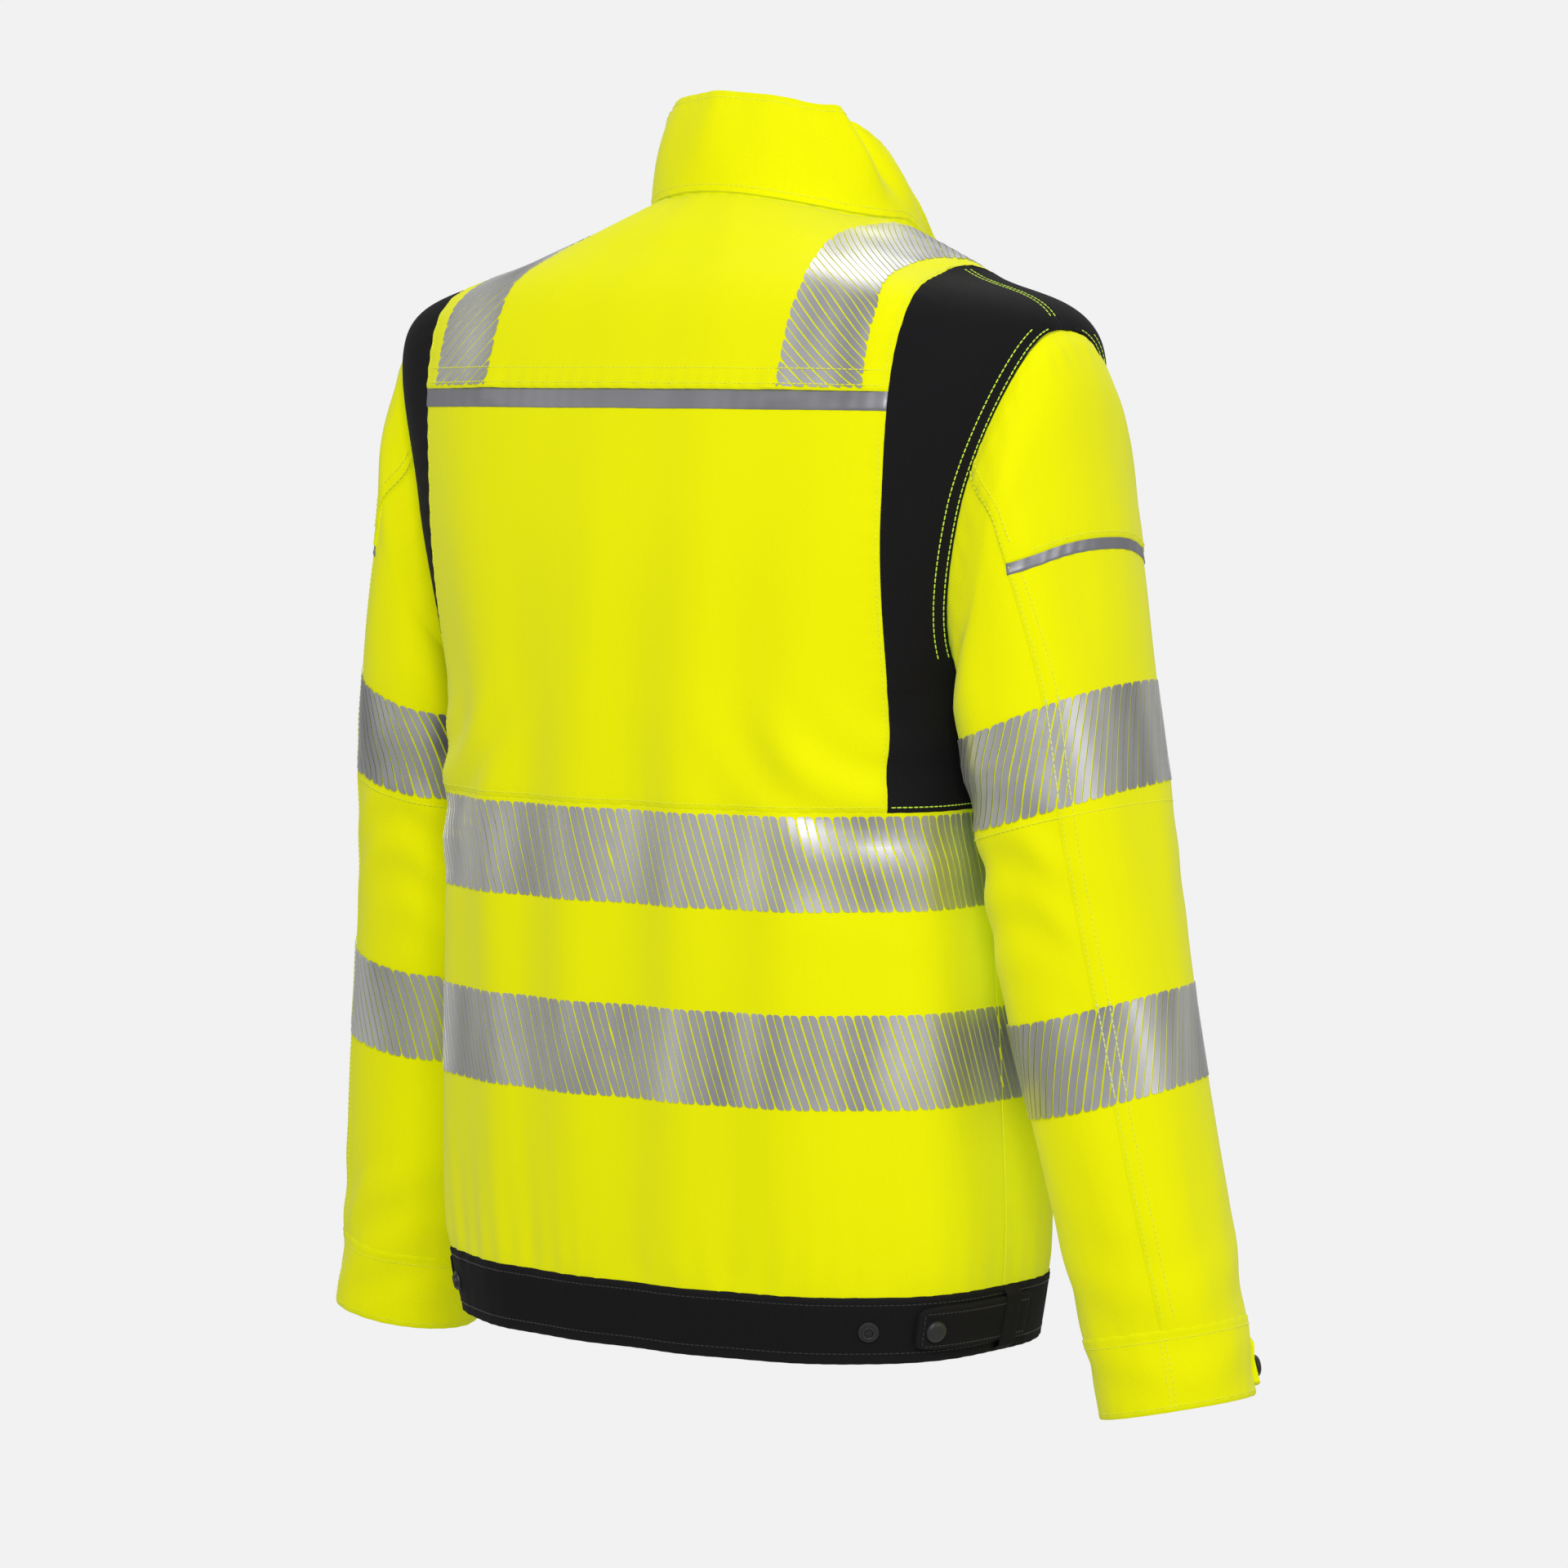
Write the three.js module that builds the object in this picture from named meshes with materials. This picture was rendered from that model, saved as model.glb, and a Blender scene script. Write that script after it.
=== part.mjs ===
// A hip-length hi-vis work jacket, hanging closed: sewn panels, tapes, zip, adjusters.
// Millimetres, +Z up. The wearer faces -Y, and +X is the wearer's left.
// The origin is the middle of the hanger loop inside the back neck.
import * as THREE from 'three';

// ---------- driving dimensions ----------
const CLOTH = 1.5; // thickness of a made-up panel
const LAYER_GAP = 1.0; // air between a panel and what is sewn on it
const SEAM_GAP = 0.8; // gap across a seam
const TAPE_WIDTH = 50; // reflective tape
const TAPE_THICKNESS = 1.0;
const PIPING_WIDTH = 18; // plain reflective strip, partly under the flap above it
const PIPING_SHOWN = 10; // how much of it shows below the flap
const CHEST_HALF = 168; // half the width of the body under the arms
const HEM_Z = -604;
const WAISTBAND_HEIGHT = 36;
const NECK_Z = 10; // back neck seam
const NECK_HALF = 74;
const SHOULDER_Z = -62; // shoulder point
const ARMPIT_Z = -250;
const YOKE_EDGE_Z = -93;
const YOKE_OVERLAP = 18; // how far the back panel runs up under the yoke

/** Height that is a share of the way from the armpit down to the hem. */
const belowArm = (share) => ARMPIT_Z + (HEM_Z - ARMPIT_Z) * share;
const UPPER_TAPE_TOP = belowArm(0.1836);
const LOWER_TAPE_TOP = belowArm(0.4774);
const SIDE_SEAM_LOW_X = CHEST_HALF * 0.899; // inner seam of the black panels, at the armpit and at the shoulder
const SIDE_SEAM_HIGH_X = CHEST_HALF * 0.952;
const SHOULDER_SIDE_SEAM_X = CHEST_HALF * 0.81; // where the black panels reach the shoulder line
const BRACE_BACK_X = CHEST_HALF * 0.726;
const BRACE_SHOULDER_X = CHEST_HALF * 0.619;
const BRACE_FRONT_X = CHEST_HALF * 0.667;
const ZIP_HALF_GAP = 9; // front edge to the middle of the zip
const ZIP_TOP_Z = -84;
const CHAIN_WIDTH = 6;
const CHAIN_DEPTH = 4;
const SLIDER_HEIGHT = 24;
const SLIDER_WALL = 2.2;
const SLIDER_CLEARANCE = 0.6;
const PULLER_LENGTH = 38;
const PULLER_WIDTH = 8;
const PULLER_THICKNESS = 2;
const SNAP_RADIUS = 6;
const SNAP_HEIGHT = 3;
const STUD_RADIUS = 5.5;
const TAB_HEIGHT = 26;
const TAB_THICKNESS = 2.4;
const CUFF_HEIGHT = 42;
const CUFF_MIDDLE_Z = -626; // middle of the cuff's lower edge
const CUFF_SLANT = 8; // how much higher the cuff's outer edge is than its middle

/** Height that is a share of the way from the shoulder point down to the cuff's edge. */
const downSleeve = (share) => SHOULDER_Z + (CUFF_MIDDLE_Z - SHOULDER_Z) * share;
const SLEEVE_UPPER_TAPE_Z = downSleeve(0.3972); // middles of the sleeve's tapes
const SLEEVE_LOWER_TAPE_Z = downSleeve(0.6684);
const PATCH_EDGE_Z = downSleeve(0.1915); // lower edge of the sleeve patch, outside
const PATCH_EDGE_DROP = 14; // how much lower that edge is at the back seam
const PATCH_PIPING = 6; // how much of the piping shows under the patch
const CUFF_TAB_HEIGHT = 24;
const POCKET_WIDTH = CHEST_HALF * 0.625;
const POCKET_HEIGHT = 125;
const POCKET_MIDDLE_X = CHEST_HALF * 0.476;
const POCKET_TOP_Z = ARMPIT_Z + 100;
const POCKET_THICKNESS = 2.5;
const FLAP_HEIGHT = 48;
const LOOP_WIDTH = 60;
const LOOP_SECTION = 3;
const LABEL_WIDTH = 44;
const LABEL_HEIGHT = 26;

// ---------- the torso's sections, hem to neck ----------
// half: half width. back, side: y of the section there. zBack, zSide, zFront: its heights.
// power: 2 is an ellipse, more is boxier.
const FRONT_Y = -114;

/** A section at one height all round. */
const level = (z, half, back, power) => ({ half: CHEST_HALF * half, back, side: 0, zBack: z, zSide: z, zFront: z, power });
const SECTIONS = [
  level(HEM_Z, 0.988, 109, 2.6),
  level(belowArm(0.853), 1.042, 115, 2.6),
  level(belowArm(0.6215), 1.036, 117, 2.7),
  level(belowArm(0.367), 1.006, 118, 2.8),
  level(belowArm(0.141), 1, 118, 2.8),
  level(ARMPIT_Z, 1.012, 118, 2.7),
  { half: CHEST_HALF * 1.19, back: 115, side: 2, zBack: ARMPIT_Z + 95, zSide: ARMPIT_Z + 95, zFront: ARMPIT_Z + 85, power: 2.5 },
  { half: CHEST_HALF * 1.286, back: 95, side: 8, zBack: SHOULDER_Z + 4, zSide: SHOULDER_Z, zFront: -118, power: 2.4 },
  { half: CHEST_HALF * 0.863, back: 66, side: -14, zBack: -16, zSide: -32, zFront: -98, power: 2.2 },
  { half: NECK_HALF, back: 36, side: -37, zBack: NECK_Z, zSide: -4, zFront: -80, power: 2.0 },
];
const NECK = SECTIONS.length - 1;
const SHOULDER = NECK - 2;

const DEG = Math.PI / 180;
const SIDE = 90;
const FRONT = 180;

/** Catmull-Rom value of one of the sections' fields at level t. */
function sectionValue(field, t) {
  const base = Math.min(Math.max(Math.floor(t), 0), NECK - 1);
  const f = t - base;
  const at = (k) => SECTIONS[Math.min(Math.max(k, 0), NECK)][field];
  const [p0, p1, p2, p3] = [at(base - 1), at(base), at(base + 1), at(base + 2)];
  const linear = p2 - p0;
  const square = 2 * p0 - 5 * p1 + 4 * p2 - p3;
  const cube = 3 * p1 - p0 - 3 * p2 + p3;
  return 0.5 * (2 * p1 + linear * f + square * f * f + cube * f * f * f);
}

/** Point of the torso at an angle (0 back, 90 the wearer's left, 180 front) and level. */
function torsoPoint(angle, t) {
  const s = Math.sin(angle * DEG);
  const c = Math.cos(angle * DEG);
  const power = 2 / sectionValue('power', t);
  const side = sectionValue('side', t);
  const end = c > 0 ? sectionValue('back', t) - side : side - FRONT_Y;
  const zSide = sectionValue('zSide', t);
  const zEnd = c > 0 ? sectionValue('zBack', t) : sectionValue('zFront', t);
  return new THREE.Vector3(
    sectionValue('half', t) * Math.sign(s) * Math.abs(s) ** power,
    side + end * Math.sign(c) * Math.abs(c) ** power,
    zSide + (zEnd - zSide) * c * c,
  );
}

/** Value where a function that rises from low to high reaches the target. */
function solve(rising, target, low, high) {
  for (let k = 0; k < 40; k += 1) {
    const middle = (low + high) / 2;
    if (rising(middle) < target) low = middle;
    else high = middle;
  }
  return (low + high) / 2;
}

/** Level where the back of the torso is at height z. */
const levelAt = (z) => solve((t) => sectionValue('zBack', t), z, 0, NECK);

/** Level above the shoulder where the half width is x. */
const crestAt = (x) => solve((t) => -sectionValue('half', t), -x, SHOULDER, NECK);

/** Angle on the back where the torso at level t is x from the middle. */
function angleAtX(x, t) {
  const share = Math.min(x / sectionValue('half', t), 1);
  return Math.asin(share ** (sectionValue('power', t) / 2)) / DEG;
}

// ---------- surfaces and closed sheets ----------
/** Unit normal of a surface function at (u, v), pointing away from the middle of it. */
function normalAt(surface, u, v, away) {
  const step = 0.02;
  const du = surface(u + step, v).sub(surface(u - step, v));
  const dv = surface(u, v + step).sub(surface(u, v - step));
  const normal = du.cross(dv).normalize();
  return normal.dot(away) < 0 ? normal.negate() : normal;
}

/** Torso point lifted off the cloth by an offset. */
function torsoOffset(angle, t, offset) {
  const point = torsoPoint(angle, t);
  const lower = torsoPoint(angle, t - 0.05);
  const away = new THREE.Vector3(point.x, point.y * 1.4, Math.max(point.z - lower.z, 0) * 0.2 + 5);
  return point.clone().addScaledVector(normalAt(torsoPoint, angle, t, away), offset);
}

/** Closed solid between two grids of points, rows by columns. wrap joins the last column to the first. */
function solidBetween(outer, inner, wrap = false) {
  const rows = outer.length;
  const columns = outer[0].length;
  const positions = [];
  for (const grid of [outer, inner]) {
    for (const row of grid) for (const p of row) positions.push(p.x, p.y, p.z);
  }
  const at = (layer, i, j) => (layer * rows + i) * columns + (j % columns);
  const faces = [];
  const quad = (a, b, c, d) => faces.push(a, b, c, a, c, d);
  const spans = wrap ? columns : columns - 1;
  for (let i = 0; i < rows - 1; i += 1) {
    for (let j = 0; j < spans; j += 1) {
      quad(at(0, i, j), at(0, i, j + 1), at(0, i + 1, j + 1), at(0, i + 1, j));
      quad(at(1, i, j), at(1, i + 1, j), at(1, i + 1, j + 1), at(1, i, j + 1));
    }
  }
  for (let j = 0; j < spans; j += 1) {
    quad(at(0, 0, j), at(1, 0, j), at(1, 0, j + 1), at(0, 0, j + 1));
    quad(at(0, rows - 1, j), at(0, rows - 1, j + 1), at(1, rows - 1, j + 1), at(1, rows - 1, j));
  }
  if (!wrap) {
    for (let i = 0; i < rows - 1; i += 1) {
      quad(at(0, i, 0), at(0, i + 1, 0), at(1, i + 1, 0), at(1, i, 0));
      quad(at(0, i, columns - 1), at(1, i, columns - 1), at(1, i + 1, columns - 1), at(0, i + 1, columns - 1));
    }
  }
  return facingOut(positions, faces);
}

/** Indexed geometry whose faces point out, whichever way the grids ran. */
function facingOut(positions, faces) {
  let volume = 0;
  const [a, b, c] = [new THREE.Vector3(), new THREE.Vector3(), new THREE.Vector3()];
  for (let k = 0; k < faces.length; k += 3) {
    a.fromArray(positions, faces[k] * 3);
    b.fromArray(positions, faces[k + 1] * 3);
    c.fromArray(positions, faces[k + 2] * 3);
    volume += a.dot(b.cross(c));
  }
  if (volume < 0) {
    for (let k = 0; k < faces.length; k += 3) [faces[k + 1], faces[k + 2]] = [faces[k + 2], faces[k + 1]];
  }
  const geometry = new THREE.BufferGeometry();
  geometry.setAttribute('position', new THREE.Float32BufferAttribute(positions, 3));
  geometry.setIndex(faces);
  geometry.computeVertexNormals();
  return geometry;
}

/** Evenly spaced values from a to b. */
const range = (a, b, count) => Array.from({ length: count + 1 }, (_, k) => a + ((b - a) * k) / count);

/** Torso panel whose columns run between two angles that depend on the level. */
function torsoPanel(levels, fromAngle, toAngle, columns, offset = 0, thickness = CLOTH) {
  const grid = (lift) => levels.map((t) =>
    range(fromAngle(t), toAngle(t), columns).map((angle) => torsoOffset(angle, t, lift)));
  return solidBetween(grid(offset), grid(offset - thickness));
}

/** Angle moved along the cloth by a distance in millimetres. */
function nudge(angle, t, distance) {
  const perDegree = torsoPoint(angle + 0.5, t).distanceTo(torsoPoint(angle - 0.5, t));
  return angle + distance / perDegree;
}

// ---------- materials ----------
const finish = (color, roughness, metalness = 0) => ({ color, roughness, metalness });
const YELLOW = finish(0xe8f000, 0.85);
const BLACK = finish(0x1c1c1f, 0.85);
const SILVER = finish(0xa8a8ac, 0.45, 0.2);
const PLASTIC = finish(0x151517, 0.4);
const STEEL = finish(0x8d8f94, 0.3, 0.9);
const LABEL = finish(0xd8d8d8, 0.7);

const jacket = new THREE.Group();
jacket.name = 'work_jacket';

/** Adds a named sub-part with its own material. */
function add(name, geometry, look) {
  const mesh = new THREE.Mesh(geometry, new THREE.MeshStandardMaterial(look));
  mesh.name = name;
  jacket.add(mesh);
  return mesh;
}

/** Both sides in turn: the wearer's left is +1 and right is -1. */
const SIDES = [['left', 1], ['right', -1]];

// ---------- armhole and seam lines ----------
const ARM_TOP = SHOULDER;
const ARM_BOTTOM = levelAt(ARMPIT_Z);
const ARM_MIDDLE = (ARM_TOP + ARM_BOTTOM) / 2;
const ARM_REACH = (ARM_TOP - ARM_BOTTOM) / 2;
const ARM_HALF_ANGLE = 25;

/** How far the armhole reaches to each side of the side seam, in degrees, at a level. */
function armholeHalf(t) {
  const share = (t - ARM_MIDDLE) / ARM_REACH;
  return Math.abs(share) >= 1 ? 0 : ARM_HALF_ANGLE * Math.sqrt(1 - share * share);
}

const SIDE_SEAM_TOP = crestAt(SHOULDER_SIDE_SEAM_X);
const LEAST_PANEL_ANGLE = 1.5; // the black panel is never narrower than this

/** Angle of the seam between the yellow middle and the black side panel, back half. */
function sideSeam(t) {
  const rise = Math.min(Math.max((t - ARM_BOTTOM) / (SHOULDER - ARM_BOTTOM), 0), 1);
  const over = Math.min(Math.max((t - SHOULDER) / (SIDE_SEAM_TOP - SHOULDER), 0), 1);
  const x = SIDE_SEAM_LOW_X + (SIDE_SEAM_HIGH_X - SIDE_SEAM_LOW_X) * rise
    + (SHOULDER_SIDE_SEAM_X - SIDE_SEAM_HIGH_X) * over ** 2;
  return angleAtX(x, t);
}

/** Levels with extra steps where the armhole turns. */
function armLevels(from, to) {
  const around = range(0, 180, 8).map((a) => ARM_MIDDLE - ARM_REACH * Math.cos(a * DEG));
  const below = range(from, ARM_BOTTOM, 2).slice(0, -1);
  const above = range(ARM_TOP, to, 3).slice(1);
  return [...below, ...around, ...above].filter((t) => t <= to);
}

// ---------- back ----------
const bandTop = levelAt(HEM_Z + WAISTBAND_HEIGHT);
const backSeam = levelAt(UPPER_TAPE_TOP + 2);
const gapLevel = (t, distance) => levelAt(sectionValue('zBack', t) + distance);
const yokeBottom = levelAt(YOKE_EDGE_Z);
const yokeOffset = LAYER_GAP + TAPE_THICKNESS + LAYER_GAP + CLOTH;
const yokeTop = NECK - 0.06; // just under the collar's foot
const pipingFoot = YOKE_EDGE_Z - PIPING_SHOWN;

add('back_lower_panel', torsoPanel(
  range(gapLevel(bandTop, SEAM_GAP), gapLevel(backSeam, -SEAM_GAP), 6),
  (t) => nudge(-SIDE, t, SEAM_GAP / 2), (t) => nudge(SIDE, t, -SEAM_GAP / 2), 20), YELLOW);

add('back_upper_panel', torsoPanel(
  armLevels(backSeam, levelAt(YOKE_EDGE_Z + YOKE_OVERLAP)),
  (t) => -nudge(sideSeam(t), t, -SEAM_GAP), (t) => nudge(sideSeam(t), t, -SEAM_GAP), 12), YELLOW);

/** Half angle of the yoke: to the side seam, and to the shoulder line above its top. */
function yokeEdge(t) {
  const angle = t >= SIDE_SEAM_TOP ? SIDE : sideSeam(t);
  return nudge(angle, t, -SEAM_GAP);
}
add('back_yoke', torsoPanel(
  [...range(yokeBottom, SIDE_SEAM_TOP, 6), ...range(SIDE_SEAM_TOP, yokeTop, 3).slice(1)],
  (t) => -yokeEdge(t), yokeEdge, 16, yokeOffset), YELLOW);

add('back_piping', torsoPanel(
  range(levelAt(pipingFoot), levelAt(pipingFoot + PIPING_WIDTH), 2),
  (t) => -nudge(sideSeam(t), t, -SEAM_GAP), (t) => nudge(sideSeam(t), t, -SEAM_GAP), 12,
  LAYER_GAP + TAPE_THICKNESS, TAPE_THICKNESS), SILVER);

// ---------- black side panels and yellow fronts ----------
/** Angle of the front edge at the zip. */
const zipEdge = (t) => FRONT - angleAtX(ZIP_HALF_GAP, t);

for (const [side, sign] of SIDES) {
  const outer = (t) => nudge(SIDE - armholeHalf(t), t, -SEAM_GAP / 2);
  const inner = (t) => Math.min(sideSeam(t), outer(t) - LEAST_PANEL_ANGLE);
  const levels = armLevels(backSeam, SIDE_SEAM_TOP);
  add(`side_back_panel_${side}`, torsoPanel(
    levels, (t) => sign * inner(t), (t) => sign * outer(t), 5), BLACK);
  add(`side_front_panel_${side}`, torsoPanel(
    levels, (t) => sign * (FRONT - inner(t)), (t) => sign * (FRONT - outer(t)), 5), BLACK);

  const chestEdge = (t) => (t > SIDE_SEAM_TOP ? nudge(SIDE, t, SEAM_GAP)
    : nudge(FRONT - inner(t), t, SEAM_GAP));
  add(`front_upper_panel_${side}`, torsoPanel(
    [...levels, ...range(SIDE_SEAM_TOP, yokeTop, 3).slice(1)],
    (t) => sign * chestEdge(t), (t) => sign * zipEdge(t), 8), YELLOW);
  add(`front_lower_panel_${side}`, torsoPanel(
    range(gapLevel(bandTop, SEAM_GAP), gapLevel(backSeam, -SEAM_GAP), 6),
    (t) => sign * nudge(SIDE, t, SEAM_GAP / 2), (t) => sign * zipEdge(t), 10), YELLOW);
}

// ---------- waistband ----------
add('waistband', torsoPanel(
  range(0, bandTop, 2), (t) => -zipEdge(t), zipEdge, 40, CLOTH / 2, CLOTH * 1.6), BLACK);

// ---------- reflective body tapes and braces ----------
for (const [name, top] of [['upper', UPPER_TAPE_TOP], ['lower', LOWER_TAPE_TOP]]) {
  const levels = range(levelAt(top - TAPE_WIDTH), levelAt(top), 2);
  const lift = LAYER_GAP + TAPE_THICKNESS;
  add(`${name}_tape_back`, torsoPanel(levels, (t) => nudge(-SIDE, t, SEAM_GAP),
    (t) => nudge(SIDE, t, -SEAM_GAP), 24, lift, TAPE_THICKNESS), SILVER);
  for (const [side, sign] of SIDES) {
    add(`${name}_tape_front_${side}`, torsoPanel(levels, (t) => sign * nudge(SIDE, t, SEAM_GAP),
      (t) => sign * zipEdge(t), 12, lift, TAPE_THICKNESS), SILVER);
  }
}

/** Point of the shoulder section at a distance x from the middle. w runs -1 back, 0 crest, 1 front. */
function overShoulder(x, w, backLevel, frontLevel, offset) {
  const crest = crestAt(x);
  const end = w < 0 ? backLevel : frontLevel;
  const t = crest - (crest - end) * w * w;
  const angle = angleAtX(x, t);
  return torsoOffset(w < 0 ? angle : FRONT - angle, t, offset);
}

const SLOPE_SHARE = 0.94; // how much of a width along the sloping shoulder is sideways
const BRACE_EASE = 1.6; // how soon the brace reaches its end's distance from the middle

/** How far the brace tape is from the middle, along its run. */
function braceX(w) {
  const end = w < 0 ? BRACE_BACK_X : BRACE_FRONT_X;
  return BRACE_SHOULDER_X + (end - BRACE_SHOULDER_X) * Math.min(w * w * BRACE_EASE, 1);
}

for (const [side, sign] of SIDES) {
  const frontEnd = levelAt(UPPER_TAPE_TOP + 4);
  const backEnd = levelAt(YOKE_EDGE_Z + 3);
  const lift = (w) => yokeOffset + LAYER_GAP + TAPE_THICKNESS - (w > 0 ? Math.min(w * 5, 1) * 3 : 0);
  const grid = (drop) => range(-1, 1, 20).map((w) => range(-0.5, 0.5, 3).map((across) => {
    const x = braceX(w) + across * TAPE_WIDTH * SLOPE_SHARE;
    const point = overShoulder(x, w, backEnd, frontEnd, lift(w) - drop);
    point.x *= sign;
    return point;
  }));
  add(`brace_tape_${side}`, solidBetween(grid(0), grid(TAPE_THICKNESS)), SILVER);
}

// ---------- sleeves ----------
const CUFF_OUTER_Z = CUFF_MIDDLE_Z + CUFF_SLANT;
const CUFF_INNER_Z = CUFF_MIDDLE_Z - CUFF_SLANT;

/**
 * A section across the sleeve. out and inner: how far its outer and inner points are from the side
 * of the chest, and the share of the way down to the cuff. y: its middle. deep: half its depth.
 */
const sleeveSection = (out, inner, y, deep, power) => ({
  out: [CHEST_HALF + out[0], SHOULDER_Z + (CUFF_OUTER_Z - SHOULDER_Z) * out[1]],
  in: [CHEST_HALF + inner[0], ARMPIT_Z + (CUFF_INNER_Z - ARMPIT_Z) * inner[1]],
  y,
  deep,
  power,
});

const SLEEVE_SECTIONS = [
  sleeveSection([59, 0.054], [8, 0.0156], 1, 62, 2.2),
  sleeveSection([64, 0.1313], [7, 0.0286], 0, 63, 2.3),
  sleeveSection([70, 0.2212], [7, 0.0443], -1, 63, 2.4),
  sleeveSection([78, 0.3255], [7, 0.0651], -2, 62, 2.4),
  sleeveSection([88, 0.4496], [8, 0.2161], -5, 60, 2.4),
  sleeveSection([101, 0.5899], [14, 0.4167], -10, 54, 2.3),
  sleeveSection([119, 0.7968], [36, 0.7109], -19, 49, 2.2),
  sleeveSection([134, 0.9406], [54, 0.9141], -23, 43, 2.1),
  sleeveSection([139, 1], [62, 1], -24, 42, 2.1),
];
const SLEEVE_END = SLEEVE_SECTIONS.length;

/** Point of the armhole's edge. angle: 0 top, 90 back, 180 armpit, 270 front. */
function armholePoint(angle) {
  const t = ARM_MIDDLE + (ARM_REACH - 0.02) * Math.cos(angle * DEG);
  const spread = (ARM_HALF_ANGLE - 0.6) * Math.sin(angle * DEG);
  return torsoPoint(SIDE - spread, t);
}

/** Point of one full sleeve section. */
function sleeveRing(section, angle) {
  const c = Math.cos(angle * DEG);
  const s = Math.sin(angle * DEG);
  const along = Math.sign(c) * Math.abs(c) ** (2 / section.power);
  const across = Math.sign(s) * Math.abs(s) ** (2 / section.power);
  const x = (section.out[0] + section.in[0]) / 2 + ((section.out[0] - section.in[0]) / 2) * along;
  const z = (section.out[1] + section.in[1]) / 2 + ((section.out[1] - section.in[1]) / 2) * along;
  return new THREE.Vector3(x, section.y + section.deep * across, z);
}

/** Point of the left sleeve, s from 0 at the armhole to SLEEVE_END at the cuff's edge. */
function sleevePoint(angle, s) {
  const base = Math.min(Math.max(Math.floor(s), 0), SLEEVE_END - 1);
  const at = (k) => (k <= 0 ? armholePoint(angle)
    : sleeveRing(SLEEVE_SECTIONS[Math.min(k, SLEEVE_END) - 1], angle));
  const f = s - base;
  const [p0, p1, p2, p3] = [at(base - 1), at(base), at(base + 1), at(base + 2)];
  const out = p1.clone().multiplyScalar(2);
  out.addScaledVector(p2.clone().sub(p0), f);
  out.addScaledVector(p0.clone().multiplyScalar(2).addScaledVector(p1, -5).addScaledVector(p2, 4).sub(p3), f * f);
  out.addScaledVector(p1.clone().multiplyScalar(3).sub(p0).addScaledVector(p2, -3).add(p3), f * f * f);
  return out.multiplyScalar(0.5);
}

/** Middle of the sleeve at s. */
const sleeveMiddle = (s) => sleevePoint(0, s).add(sleevePoint(180, s)).multiplyScalar(0.5);

/** Sleeve point lifted off the cloth, on the given side of the body. */
function sleeveOffset(angle, s, offset, sign) {
  const point = sleevePoint(angle, s);
  const away = point.clone().sub(sleeveMiddle(s)).multiply(new THREE.Vector3(1, 1, 0.4));
  point.addScaledVector(normalAt(sleevePoint, angle, s, away), offset);
  point.x *= sign;
  return point;
}

/** Sleeve piece between two angles. A full turn makes a ring. */
function sleevePanel(steps, fromAngle, toAngle, columns, sign, offset = 0, thickness = CLOTH) {
  const full = toAngle(1) - fromAngle(1) >= 360;
  const grid = (lift) => steps.map((s) => {
    const angles = range(fromAngle(s), toAngle(s), columns);
    return (full ? angles.slice(0, -1) : angles).map((a) => sleeveOffset(a, s, lift, sign));
  });
  return solidBetween(grid(offset), grid(offset - thickness), full);
}

/** Place s on the sleeve where its middle is at height z. */
const sleeveAt = (z) => solve((s) => -sleeveMiddle(s).z, -z, 0, SLEEVE_END);

/** Angle of the sleeve's back seam: from the armhole's back round to the outside. */
const backSeamAngle = (s) => 56 + 34 * Math.max(1 - s / 4, 0);
const FRONT_SEAM_ANGLE = 255;
const SLEEVE_GAP_ANGLE = 0.5;
const PATCH_SEAM_ANGLE = 6; // how far the patch stays from the front seam
const cuffTop = sleeveAt(CUFF_MIDDLE_Z + CUFF_HEIGHT);
const PATCH_START = 0.35;
const upperTape = sleeveAt(SLEEVE_UPPER_TAPE_Z);
const lowerTape = sleeveAt(SLEEVE_LOWER_TAPE_Z);

/** Grid on the sleeve's outside between two heights, or from a fixed step down to a height. */
function patchGrid(rows, sign, fromStep, topDrop, bottomDrop, lift) {
  return range(0, 1, rows).map((v) => range(0, 1, 10).map((u) => {
    const from = FRONT_SEAM_ANGLE + PATCH_SEAM_ANGLE;
    const angle = from + (360 + backSeamAngle(2) - 2 - from) * u;
    const stepAt = (drop) => solve((s) => -sleevePoint(angle, s).z,
      -PATCH_EDGE_Z + PATCH_EDGE_DROP * Math.sin(angle * DEG) ** 2 + drop, 0.2, 5);
    const start = fromStep ?? stepAt(topDrop);
    return sleeveOffset(angle, start + (stepAt(bottomDrop) - start) * v, lift, sign);
  }));
}

/** Steps of s that a tape of the given width covers round a middle. */
function tapeSteps(middle, width) {
  const length = sleeveMiddle(middle + 0.1).distanceTo(sleeveMiddle(middle - 0.1)) / 0.2;
  return range(middle - width / 2 / length, middle + width / 2 / length, 2);
}

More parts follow.
